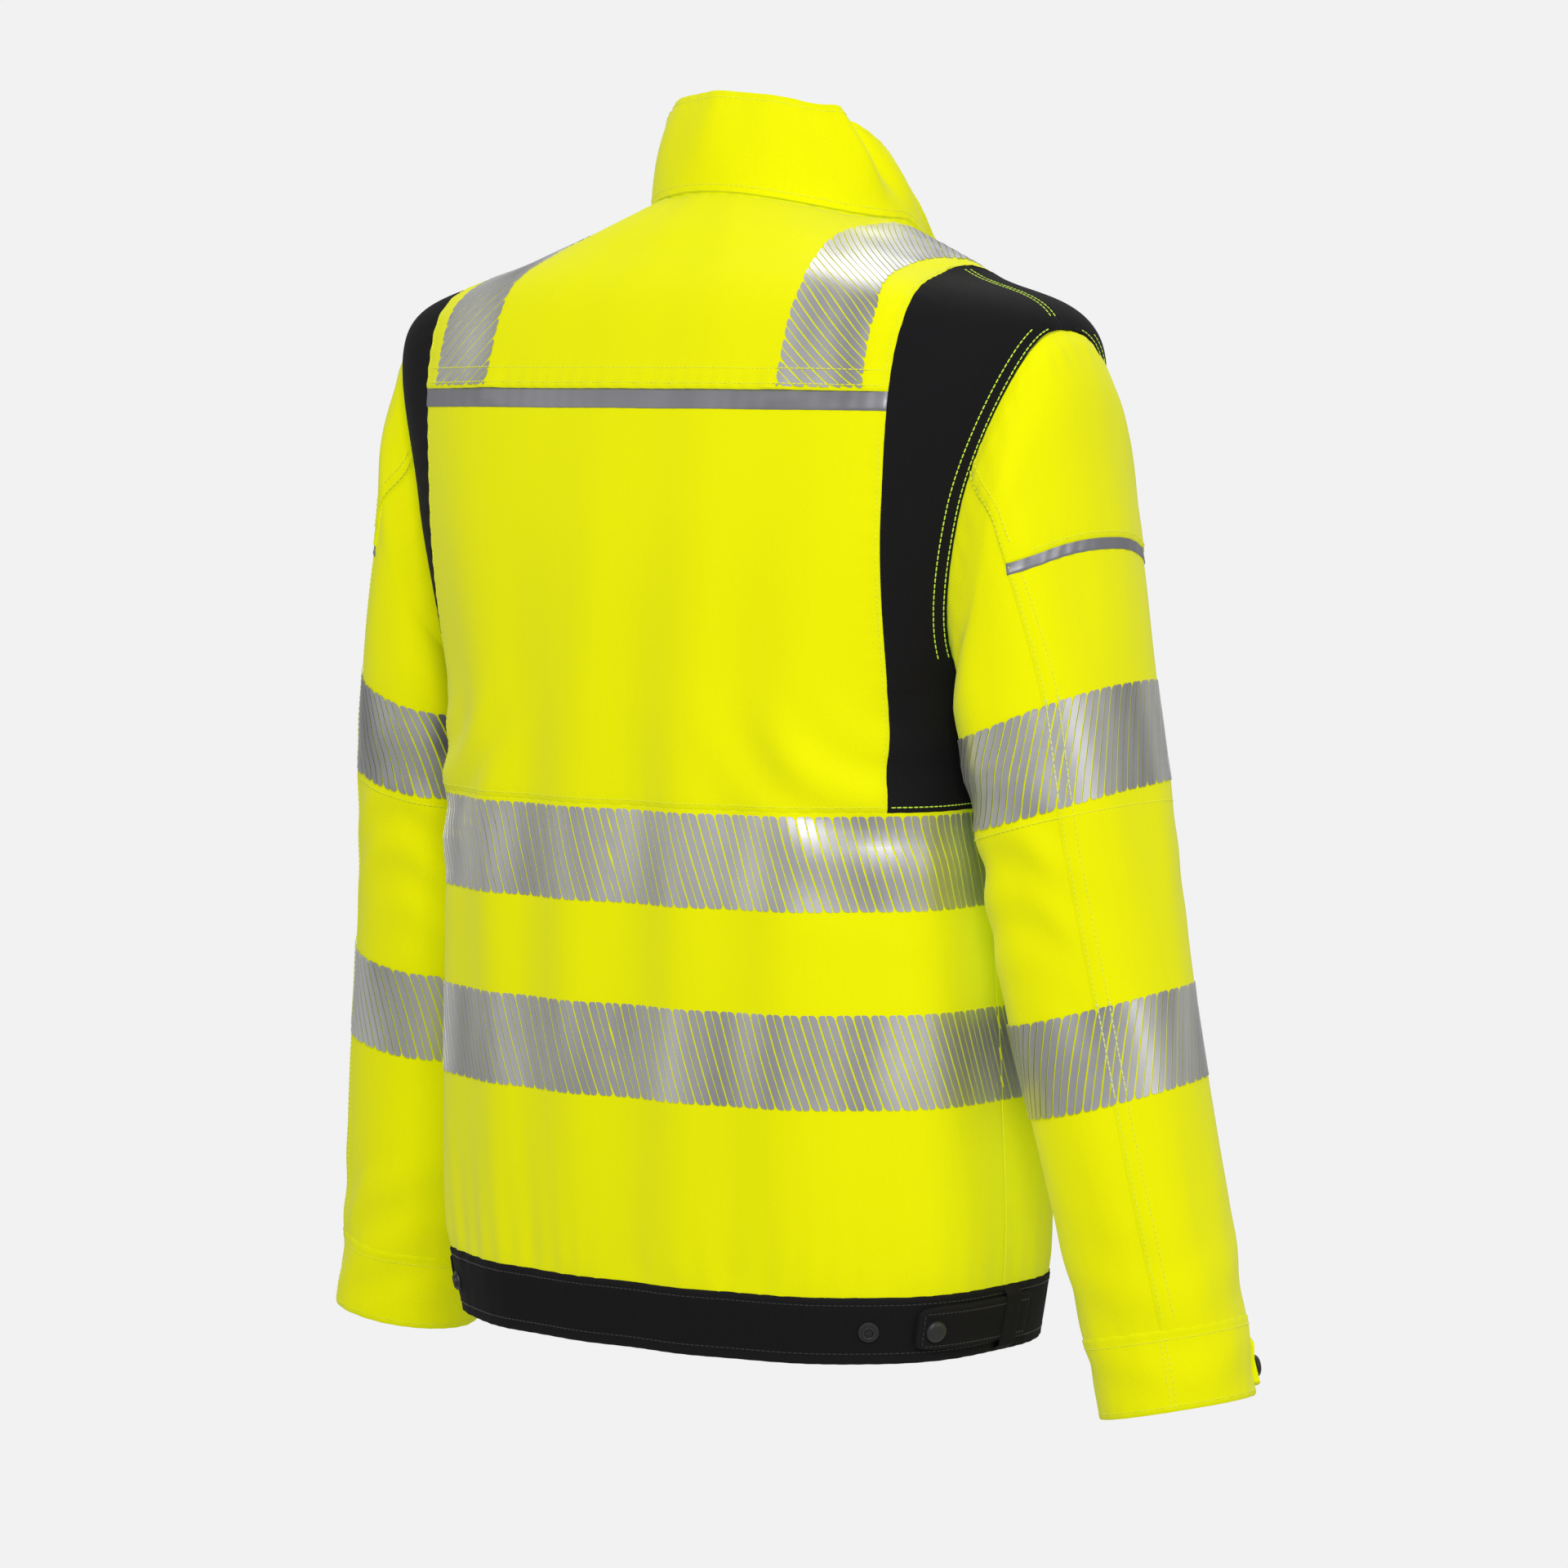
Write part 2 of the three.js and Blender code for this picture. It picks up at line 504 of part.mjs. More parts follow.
for (const [side, sign] of SIDES) {
  const steps = [0.0, 0.3, 0.7, ...range(1.1, cuffTop - 0.03, 9)];
  add(`sleeve_under_${side}`, sleevePanel(steps, (s) => backSeamAngle(s) + SLEEVE_GAP_ANGLE,
    () => FRONT_SEAM_ANGLE - SLEEVE_GAP_ANGLE, 11, sign), YELLOW);
  add(`sleeve_top_${side}`, sleevePanel(steps, () => FRONT_SEAM_ANGLE + SLEEVE_GAP_ANGLE,
    (s) => 360 + backSeamAngle(s) - SLEEVE_GAP_ANGLE, 9, sign), YELLOW);
  const patchLift = LAYER_GAP * 2 + TAPE_THICKNESS + CLOTH;
  const patch = (lift) => patchGrid(4, sign, PATCH_START, 0, 0, lift);
  add(`sleeve_patch_${side}`, solidBetween(patch(patchLift), patch(patchLift - CLOTH)), YELLOW);
  const pipingLift = LAYER_GAP + TAPE_THICKNESS;
  const piping = (lift) => patchGrid(1, sign, null, -PATCH_PIPING, PATCH_PIPING, lift);
  add(`sleeve_piping_${side}`, solidBetween(piping(pipingLift), piping(LAYER_GAP)), SILVER);
  for (const [name, middle] of [['upper', upperTape], ['lower', lowerTape]]) {
    add(`sleeve_${name}_tape_${side}`, sleevePanel(tapeSteps(middle, TAPE_WIDTH), () => 0, () => 360, 20,
      sign, LAYER_GAP * 1.6 + TAPE_THICKNESS, TAPE_THICKNESS), SILVER);
  }
  add(`cuff_${side}`, sleevePanel(range(cuffTop, SLEEVE_END, 2), () => 0, () => 360, 20, sign,
    CLOTH / 2, CLOTH * 1.5), YELLOW);
}

// ---------- adjusters: waist tabs and cuff tabs with snaps ----------
/** Domed snap cap on its own axis, base at the origin. */
function snapCap() {
  const profile = [[0, 0], [SNAP_RADIUS, 0], [SNAP_RADIUS, 0.8], [SNAP_RADIUS * 0.8, 2.2],
    [SNAP_RADIUS * 0.4, SNAP_HEIGHT - 0.15], [0, SNAP_HEIGHT]];
  return new THREE.LatheGeometry(profile.map(([r, h]) => new THREE.Vector2(r, h)), 16);
}

/** Stud on its own axis: a base ring with a hollow post. */
function snapStud() {
  const profile = [[0, 0], [STUD_RADIUS, 0], [STUD_RADIUS, 1.2], [STUD_RADIUS - 1.6, 1.4],
    [STUD_RADIUS - 2, 3], [STUD_RADIUS - 3.2, 3], [STUD_RADIUS - 3.4, 1], [0, 1]];
  return new THREE.LatheGeometry(profile.map(([r, h]) => new THREE.Vector2(r, h)), 16);
}

/** Places a turned piece with its axis along a normal, its base at a point. */
function seat(name, geometry, look, point, normal) {
  const mesh = add(name, geometry, look);
  mesh.position.copy(point);
  mesh.quaternion.setFromUnitVectors(new THREE.Vector3(0, 1, 0), normal);
}

const TAB_ROOT = 97; // angle where the waist tab is sewn down
const TAB_TIP = 65;
const TAB_SNAP = 70;
const STUD_ANGLE = 52;
const tabMiddle = (HEM_Z + HEM_Z + WAISTBAND_HEIGHT) / 2;
const tabLevels = range(levelAt(tabMiddle - TAB_HEIGHT / 2), levelAt(tabMiddle + TAB_HEIGHT / 2), 2);
const tabLift = CLOTH / 2 + LAYER_GAP + TAB_THICKNESS;

for (const [side, sign] of SIDES) {
  add(`waist_tab_${side}`, torsoPanel(tabLevels, () => sign * TAB_TIP, () => sign * TAB_ROOT, 7,
    tabLift, TAB_THICKNESS), BLACK);
  for (const [name, angle, lift, shape] of [
    ['waist_snap', TAB_SNAP, tabLift + 0.5, snapCap()],
    ['waist_stud', STUD_ANGLE, CLOTH / 2 + 0.4, snapStud()],
  ]) {
    const t = levelAt(tabMiddle);
    const point = torsoOffset(sign * angle, t, lift);
    const normal = torsoOffset(sign * angle, t, lift + 1).sub(point).normalize();
    seat(`${name}_${side}`, shape, PLASTIC, point, normal);
  }
}

const CUFF_TAB_ROOT = 258;
const CUFF_TAB_TIP = 325;
const CUFF_SNAP = 313;
const cuffMiddle = (cuffTop + SLEEVE_END) / 2;
const cuffLift = CLOTH / 2 + LAYER_GAP + TAB_THICKNESS;

for (const [side, sign] of SIDES) {
  add(`cuff_tab_${side}`, sleevePanel(tapeSteps(cuffMiddle, CUFF_TAB_HEIGHT), () => CUFF_TAB_TIP,
    () => CUFF_TAB_ROOT, 6, sign, cuffLift, TAB_THICKNESS), YELLOW);
  const point = sleeveOffset(CUFF_SNAP, cuffMiddle, cuffLift + 0.5, sign);
  const normal = sleeveOffset(CUFF_SNAP, cuffMiddle, cuffLift + 1.5, sign).sub(point).normalize();
  seat(`cuff_snap_${side}`, snapCap(), PLASTIC, point, normal);
}

// ---------- chest pockets ----------
for (const [side, sign] of SIDES) {
  const flat = (top, height, offset, thickness, columns) => {
    const grid = (lift) => range(top - height, top, 3).map((z) => {
      const t = solve((level) => torsoPoint(FRONT - 35, level).z, z, 1, SHOULDER);
      const edge = (x) => FRONT - angleAtX(x, t);
      return range(edge(POCKET_MIDDLE_X + POCKET_WIDTH / 2), edge(POCKET_MIDDLE_X - POCKET_WIDTH / 2), columns)
        .map((angle) => torsoOffset(sign * angle, t, lift));
    });
    return solidBetween(grid(offset), grid(offset - thickness));
  };
  const pocketLift = LAYER_GAP * 4 + TAPE_THICKNESS + POCKET_THICKNESS;
  add(`chest_pocket_${side}`, flat(POCKET_TOP_Z, POCKET_HEIGHT, pocketLift, POCKET_THICKNESS, 5), YELLOW);
  add(`chest_flap_${side}`, flat(POCKET_TOP_Z + 5, FLAP_HEIGHT, pocketLift + LAYER_GAP + CLOTH, CLOTH, 5), YELLOW);
}

// ---------- collar ----------
const COLLAR_TOP = new THREE.CatmullRomCurve3([
  [0, 24, 62], [34, 18, 61.5], [56, 0, 59], [63, -22, 52], [63, -48, 30], [59, -78, 4], [53, -105, -19],
].map(([x, y, z]) => new THREE.Vector3(x, y, z)));

/** Neck seam point. u runs from 0 at the middle of the back to 1 at the zip. */
const neckSeam = (u) => torsoPoint(u * (FRONT - 8), NECK);

/** Collar point on the wearer's left, v from 0 at the seam to 1 at the top edge. */
function collarPoint(u, v) {
  const foot = neckSeam(u).add(new THREE.Vector3(0, 0, 2));
  const top = COLLAR_TOP.getPoint(Math.min(Math.max(u, 0), 1));
  return foot.lerp(top, v);
}

/** Collar layer over both sides, between two lifts off the middle surface. */
function collarLayer(outerLift, innerLift, low, high) {
  const grid = (lift) => range(low, high, 3).map((v) => range(-1, 1, 24).map((u) => {
    const q = Math.max(Math.abs(u), 0.001);
    const point = collarPoint(q, v);
    const du = collarPoint(Math.min(q + 0.01, 1), v).sub(collarPoint(q - 0.01, v));
    const dv = collarPoint(q, 1).sub(collarPoint(q, 0));
    const normal = dv.cross(du).normalize();
    point.addScaledVector(normal, lift);
    point.x = Math.abs(u) < 0.001 ? 0 : point.x * Math.sign(u);
    return point;
  }));
  return solidBetween(grid(outerLift), grid(innerLift));
}
add('collar_outer', collarLayer(CLOTH, 0.2, 0.06, 1), YELLOW);
add('collar_lining', collarLayer(-0.2, -CLOTH, 0.06, 0.98), BLACK);

// ---------- hanger loop and neck label ----------
const loopPath = new THREE.CatmullRomCurve3([
  [-LOOP_WIDTH / 2, 26, 4], [-LOOP_WIDTH / 3, 8, 1], [0, 0, 0], [LOOP_WIDTH / 3, 8, 1], [LOOP_WIDTH / 2, 26, 4],
].map(([x, y, z]) => new THREE.Vector3(x, y, z)));
const loopSection = new THREE.Shape();
loopSection.absellipse(0, 0, LOOP_SECTION / 2, LOOP_SECTION, 0, Math.PI * 2);
add('hanger_loop', new THREE.ExtrudeGeometry(loopSection, { steps: 16, curveSegments: 5, extrudePath: loopPath }), BLACK);

const label = add('neck_label', new THREE.BoxGeometry(LABEL_WIDTH, 1, LABEL_HEIGHT), LABEL);
label.position.set(0, 40, -LABEL_HEIGHT / 2 - 22);
label.rotation.x = 42 * DEG;

// ---------- zip ----------
const zipLength = ZIP_TOP_Z - HEM_Z - 6;
const zipMiddleZ = (ZIP_TOP_Z + HEM_Z + 6) / 2;
const chainY = FRONT_Y + 1;
const tapeY = FRONT_Y + CLOTH + 2.4;

for (const [side, sign] of SIDES) {
  const tape = add(`zip_tape_${side}`, new THREE.BoxGeometry(16, 1, zipLength), BLACK);
  tape.position.set(sign * (CHAIN_WIDTH / 2 + 0.6 + 8), tapeY, zipMiddleZ);
}

const chain = add('zip_chain', new THREE.BoxGeometry(CHAIN_WIDTH, CHAIN_DEPTH, zipLength), PLASTIC);
chain.position.set(0, chainY, zipMiddleZ);

/** Slider: a channel over the chain, open at the back. */
function sliderGeometry() {
  const inside = CHAIN_WIDTH / 2 + SLIDER_CLEARANCE;
  const outside = inside + SLIDER_WALL;
  const face = -CHAIN_DEPTH / 2 - SLIDER_CLEARANCE;
  const back = CHAIN_DEPTH / 2 - SLIDER_CLEARANCE - 1.2;
  const shape = new THREE.Shape();
  [[outside, back], [outside, face - SLIDER_WALL], [-outside, face - SLIDER_WALL], [-outside, back],
    [-inside, back], [-inside, face], [inside, face], [inside, back]]
    .forEach(([x, y], k) => (k ? shape.lineTo(x, y) : shape.moveTo(x, y)));
  shape.closePath();
  return new THREE.ExtrudeGeometry(shape, { depth: SLIDER_HEIGHT, bevelEnabled: false });
}
const slider = add('zip_slider', sliderGeometry(), STEEL);
const sliderZ = ZIP_TOP_Z - SLIDER_HEIGHT - 2;
slider.position.set(0, chainY, sliderZ);

const pullerY = chainY - CHAIN_DEPTH / 2 - SLIDER_CLEARANCE - SLIDER_WALL - 0.5 - PULLER_THICKNESS / 2;
const puller = add('zip_puller', new THREE.BoxGeometry(PULLER_WIDTH, PULLER_THICKNESS, PULLER_LENGTH), PLASTIC);
puller.position.set(0, pullerY, sliderZ + SLIDER_HEIGHT - 4 - PULLER_LENGTH / 2);

export default jacket;
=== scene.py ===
"""Looks of a hi-vis work jacket that hangs closed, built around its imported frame.

Lengths are in metres. +Z is up, the wearer faces -Y and the wearer's left is +X.
Cloth pieces are closed shells over one surface of the body, the sleeve or the collar, so that
every layer follows the same soft folds.
"""

import logging
import math
from dataclasses import dataclass, field
from enum import Enum

import bpy
import numpy as np
from mathutils import Matrix, Vector


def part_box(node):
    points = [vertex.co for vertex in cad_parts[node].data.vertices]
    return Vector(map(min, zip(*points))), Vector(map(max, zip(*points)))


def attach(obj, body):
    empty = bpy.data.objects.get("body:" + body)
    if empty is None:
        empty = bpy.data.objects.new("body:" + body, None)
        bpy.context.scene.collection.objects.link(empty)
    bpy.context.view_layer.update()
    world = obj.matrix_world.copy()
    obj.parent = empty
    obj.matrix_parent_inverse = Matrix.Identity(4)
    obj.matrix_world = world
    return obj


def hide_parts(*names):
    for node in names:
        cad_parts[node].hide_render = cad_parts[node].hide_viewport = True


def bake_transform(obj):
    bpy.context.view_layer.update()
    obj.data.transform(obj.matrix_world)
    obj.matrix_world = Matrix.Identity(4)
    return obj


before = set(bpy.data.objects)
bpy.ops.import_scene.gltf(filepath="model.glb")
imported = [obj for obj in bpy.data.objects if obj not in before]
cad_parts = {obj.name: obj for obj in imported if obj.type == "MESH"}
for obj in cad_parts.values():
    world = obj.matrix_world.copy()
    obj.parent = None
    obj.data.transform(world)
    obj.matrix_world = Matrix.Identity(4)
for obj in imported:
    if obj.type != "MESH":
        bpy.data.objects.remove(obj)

Array = np.ndarray
LOG = logging.getLogger("jacket")
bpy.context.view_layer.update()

MM = 0.001
SIDES = {"left": 1, "right": -1}
BODY = "jacket_body"
WEAVE_MAP = "weave"
EDGE_FIELD = "edge"
CALM_PUCKER = 0.10 * MM
ARMPIT_X, ARMPIT_Z = 0.170, -0.250
ARM_OUT, ARM_DOWN = 0.971, -0.238


# ---------------------------------------------------------------- numbers and curves


def node_head(node: str) -> float:
    """Height of a CAD node's top."""
    return float(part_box(node)[1][2])


def node_foot(node: str) -> float:
    """Height of a CAD node's lowest point."""
    return float(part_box(node)[0][2])


def node_middle(node: str) -> tuple[float, float, float]:
    """Middle of a CAD node's box."""
    low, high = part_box(node)
    return tuple((float(a) + float(b)) / 2 for a, b in zip(low, high))


def catmull_rom(points: list[Array], f: Array) -> Array:
    """Value at the share f between the second and the third of four points."""
    p0, p1, p2, p3 = points
    square = 2 * p0 - 5 * p1 + 4 * p2 - p3
    cube = 3 * p1 - p0 - 3 * p2 + p3
    return 0.5 * (2 * p1 + (p2 - p0) * f + square * f**2 + cube * f**3)


def spline(rows: Array, t: Array) -> Array:
    """Catmull-Rom value of evenly spaced rows.

    Args:
        rows: One row of fields for each whole t.
        t: Places along the rows, of any shape.

    Returns:
        The fields at each place, in the last axis.
    """
    last = len(rows) - 1
    base = np.clip(np.floor(t).astype(int), 0, last - 1)
    points = [rows[np.clip(base + k, 0, last)] for k in (-1, 0, 1, 2)]
    return catmull_rom(points, (t - base)[..., None])


def signed_power(value: Array, power: Array) -> Array:
    """Power of the size of a value that keeps its sign."""
    return np.sign(value) * np.abs(value) ** power


def smooth(low: float, high: float, value: Array) -> Array:
    """Smooth step from 0 at low to 1 at high."""
    share = np.clip((value - low) / (high - low), 0, 1)
    return share * share * (3 - 2 * share)


def swell(value: Array, middle: Array | float, width: float) -> Array:
    """Soft rise of height 1 round a middle."""
    return np.exp(-(((value - middle) / width) ** 2))


def run_along(points: Array, axis: int) -> Array:
    """Distance covered along an axis of a grid of points, from 0."""
    steps = np.linalg.norm(np.diff(points, axis=axis), axis=-1)
    start = np.zeros_like(np.take(steps, [0], axis=axis))
    return np.concatenate([start, np.cumsum(steps, axis=axis)], axis=axis)


class SmoothNoise:
    """Seeded smooth noise over a plane, from -1 to 1."""

    def __init__(self, seed: int, size: int = 61) -> None:
        """Draws the values at the corners of the noise's cells."""
        self.values = np.random.default_rng(seed).uniform(-1, 1, (size, size))

    def __call__(self, u: Array, v: Array) -> Array:
        """Noise at (u, v), one cell to a unit."""
        size = len(self.values)
        cell_u, cell_v = np.floor(u).astype(int), np.floor(v).astype(int)
        fu, fv = u - cell_u, v - cell_v
        fu, fv = fu**3 * (6 * fu**2 - 15 * fu + 10), fv**3 * (6 * fv**2 - 15 * fv + 10)

        def corner(a: int, b: int) -> Array:
            """Value at one corner of the cell."""
            return self.values[(cell_u + a) % size, (cell_v + b) % size]

        low = corner(0, 0) * (1 - fu) + corner(1, 0) * fu
        high = corner(0, 1) * (1 - fu) + corner(1, 1) * fu
        return low * (1 - fv) + high * fv


# ---------------------------------------------------------------- surfaces


class Surface:
    """A cloth surface over two parameters: a runs round it, t along it."""

    step = 0.02
    facing = 1.0

    def point(self, a: Array, t: Array) -> Array:
        """Point of the smooth shape at (a, t)."""
        raise NotImplementedError

    def relief(self, p: Array, a: Array, t: Array) -> Array:
        """Height of the folds at a point."""
        return np.zeros(p.shape[:-1])

    def normal(self, a: Array, t: Array) -> Array:
        """Unit normal of the smooth shape, outwards."""
        h = self.step
        across = self.point(a + h, t) - self.point(a - h, t)
        along = self.point(a, t + h) - self.point(a, t - h)
        n = np.cross(along, across) * self.facing
        return n / np.maximum(np.linalg.norm(n, axis=-1, keepdims=True), 1e-12)

    def cloth(self, a: Array, t: Array, lift: Array = 0.0) -> Array:
        """Point of the folded cloth, lifted off it."""
        a, t = np.broadcast_arrays(np.asarray(a, float), np.asarray(t, float))
        p = self.point(a, t)
        rise = self.relief(p, a, t) + lift
        return p + self.normal(a, t) * np.asarray(rise)[..., None]

    def columns(self, t: Array, start: Array, end: Array, spacing: float) -> Array:
        """Values of a that stand evenly between two edges, row by row.

        Args:
            t: The rows.
            start: The first edge's a at each row.
            end: The last edge's a at each row.
            spacing: About how far apart the columns stand on the longest row.

        Returns:
            One row of a for each t.
        """
        share = np.linspace(0, 1, 161)
        start, end = np.broadcast_to(start, t.shape), np.broadcast_to(end, t.shape)
        a = start[:, None] + (end - start)[:, None] * share
        run = run_along(self.point(a, t[:, None] + 0 * a), 1)
        count = max(int(run[:, -1].max() / spacing), 2)
        return np.array([np.interp(np.linspace(0, r[-1], count + 1), r, b) for r, b in zip(run, a)])

    def rows(self, a: float, start: float, end: float, spacing: float) -> Array:
        """Values of t that stand evenly between two ends along one line."""
        t = np.linspace(start, end, 161)
        run = run_along(self.point(np.full_like(t, a), t), 0)
        count = max(int(run[-1] / spacing), 2)
        return np.interp(np.linspace(0, run[-1], count + 1), run, t)

    def nudge(self, a: Array, t: Array, distance: float) -> Array:
        """Value of a moved round the surface by a distance."""
        gap = self.point(a + 0.5, t) - self.point(a - 0.5, t)
        return a + distance / np.linalg.norm(gap, axis=-1)


@dataclass(frozen=True)
class Section:
    """One level round the body, in millimetres.

    half is the half width, back and side the depths there, the z fields the heights there. power
    is 2 for an ellipse and more for a boxier one.
    """

    half: float
    back: float
    side: float
    z_back: float
    z_side: float
    z_front: float
    power: float

    def row(self) -> list[float]:
        """The section in metres, as one row."""
        sizes = (self.half, self.back, self.side, self.z_back, self.z_side, self.z_front)
        return [size * MM for size in sizes] + [self.power]


@dataclass(frozen=True)
class BodyFolds:
    """Soft folds of the body's cloth, in metres."""

    girth: float = 0.48
    wide: float = 0.074
    wide_height: float = 0.0038
    narrow: float = 0.041
    narrow_height: float = 0.0012
    gather: float = 0.0172
    gather_height: float = 0.0009
    gather_reach: float = 0.034
    drag_height: float = 0.0017
    drag: float = 0.036
    armpit: tuple[float, float] = (0.166, -0.262)
    band_top: float = -0.568
    drift: SmoothNoise = field(default_factory=lambda: SmoothNoise(11))
    ripple: SmoothNoise = field(default_factory=lambda: SmoothNoise(23))

    def height(self, p: Array) -> Array:
        """Height of the folds at points of the body."""
        x, y, z = p[..., 0], p[..., 1], p[..., 2]
        g = np.arctan2(x, y * 1.3) / np.pi * self.girth
        drop = smooth(-0.06, -0.34, z)
        phase = 2.6 * self.drift(g / 0.16 + 5, z / 0.42 + 3)
        wide = np.sin(2 * np.pi * g / self.wide + phase)
        soft = 0.45 + 0.55 * self.drift(g / 0.13 + 17, z / 0.30 + 9)
        narrow = self.ripple(g / self.narrow, z / 0.20) + 0.5 * self.ripple(g / 0.024 + 9, z / 0.11)
        rise = (0.22 + 0.78 * drop) * (wide * soft * self.wide_height + narrow * self.narrow_height)
        above = np.clip(z - self.band_top, 0, 1)
        pleat = np.sin(2 * np.pi * g / self.gather + 3.4 * self.ripple(g / 0.05 + 3, z / 0.09))
        mask = 0.45 + 0.55 * self.ripple(g / 0.07 + 31, 0 * z)
        held = 0.3 + 0.7 * np.exp(-np.clip(self.band_top - z, 0, 1) / 0.006)
        rise += pleat * mask * held * self.gather_height * np.exp(-above / self.gather_reach)
        rise += self._drag(x, y, z)
        arm = (np.abs(x) - ARMPIT_X) * ARM_OUT + (z - ARMPIT_Z) * ARM_DOWN
        near_arm = smooth(0.030, 0.006, np.abs(arm)) * smooth(-0.262, -0.246, z)
        rise *= 0.35 + 0.65 * smooth(self.band_top - 0.006, self.band_top + 0.012, z)
        return rise * (1 - near_arm) * smooth(0.004, 0.03, np.abs(x) + smooth(-0.1, 0.0, y) * 0.03)

    def _drag(self, x: Array, y: Array, z: Array) -> Array:
        """Height of the drag lines that fan out under the arms."""
        across, down = np.abs(x) - self.armpit[0], self.armpit[1] - z
        reach = np.hypot(across, down)
        turn = np.arctan2(-across, np.maximum(down, -0.05))
        lines = np.sin(2 * np.pi * reach / self.drag - 2.2 * turn + 1.4 * self.drift(y / 0.05, z / 0.08))
        fan = swell(reach, 0.055, 0.045) * smooth(-0.02, 0.03, down)
        return self.drag_height * lines * fan * (0.35 + 0.65 * smooth(0.02, 0.07, np.abs(y)))


@dataclass(frozen=True)
class ArmholeShape:
    """The armhole as an ellipse in angle and level."""

    top: float
    bottom: float
    half_angle: float = 25.0

    @property
    def middle(self) -> float:
        """Level of the middle."""
        return (self.top + self.bottom) / 2

    @property
    def reach(self) -> float:
        """Levels from the middle to an end."""
        return (self.top - self.bottom) / 2

    def half(self, t: Array) -> Array:
        """How far the armhole reaches to each side of the side line, in degrees."""
        share = (t - self.middle) / self.reach
        return self.half_angle * np.sqrt(np.clip(1 - share**2, 0, 1))

    def levels(self, start: float, end: float, spacing: float = 0.032) -> Array:
        """Levels that close up where the armhole turns."""
        below = np.arange(start, self.bottom - spacing / 3, spacing * 1.7)
        around = self.middle - self.reach * np.cos(np.linspace(0, np.pi, 104))
        above = np.linspace(self.top, end, max(int((end - self.top) / spacing), 1) + 1)[1:]
        levels = np.concatenate([below, around, above])
        return levels[(levels <= end) & (levels >= start)]


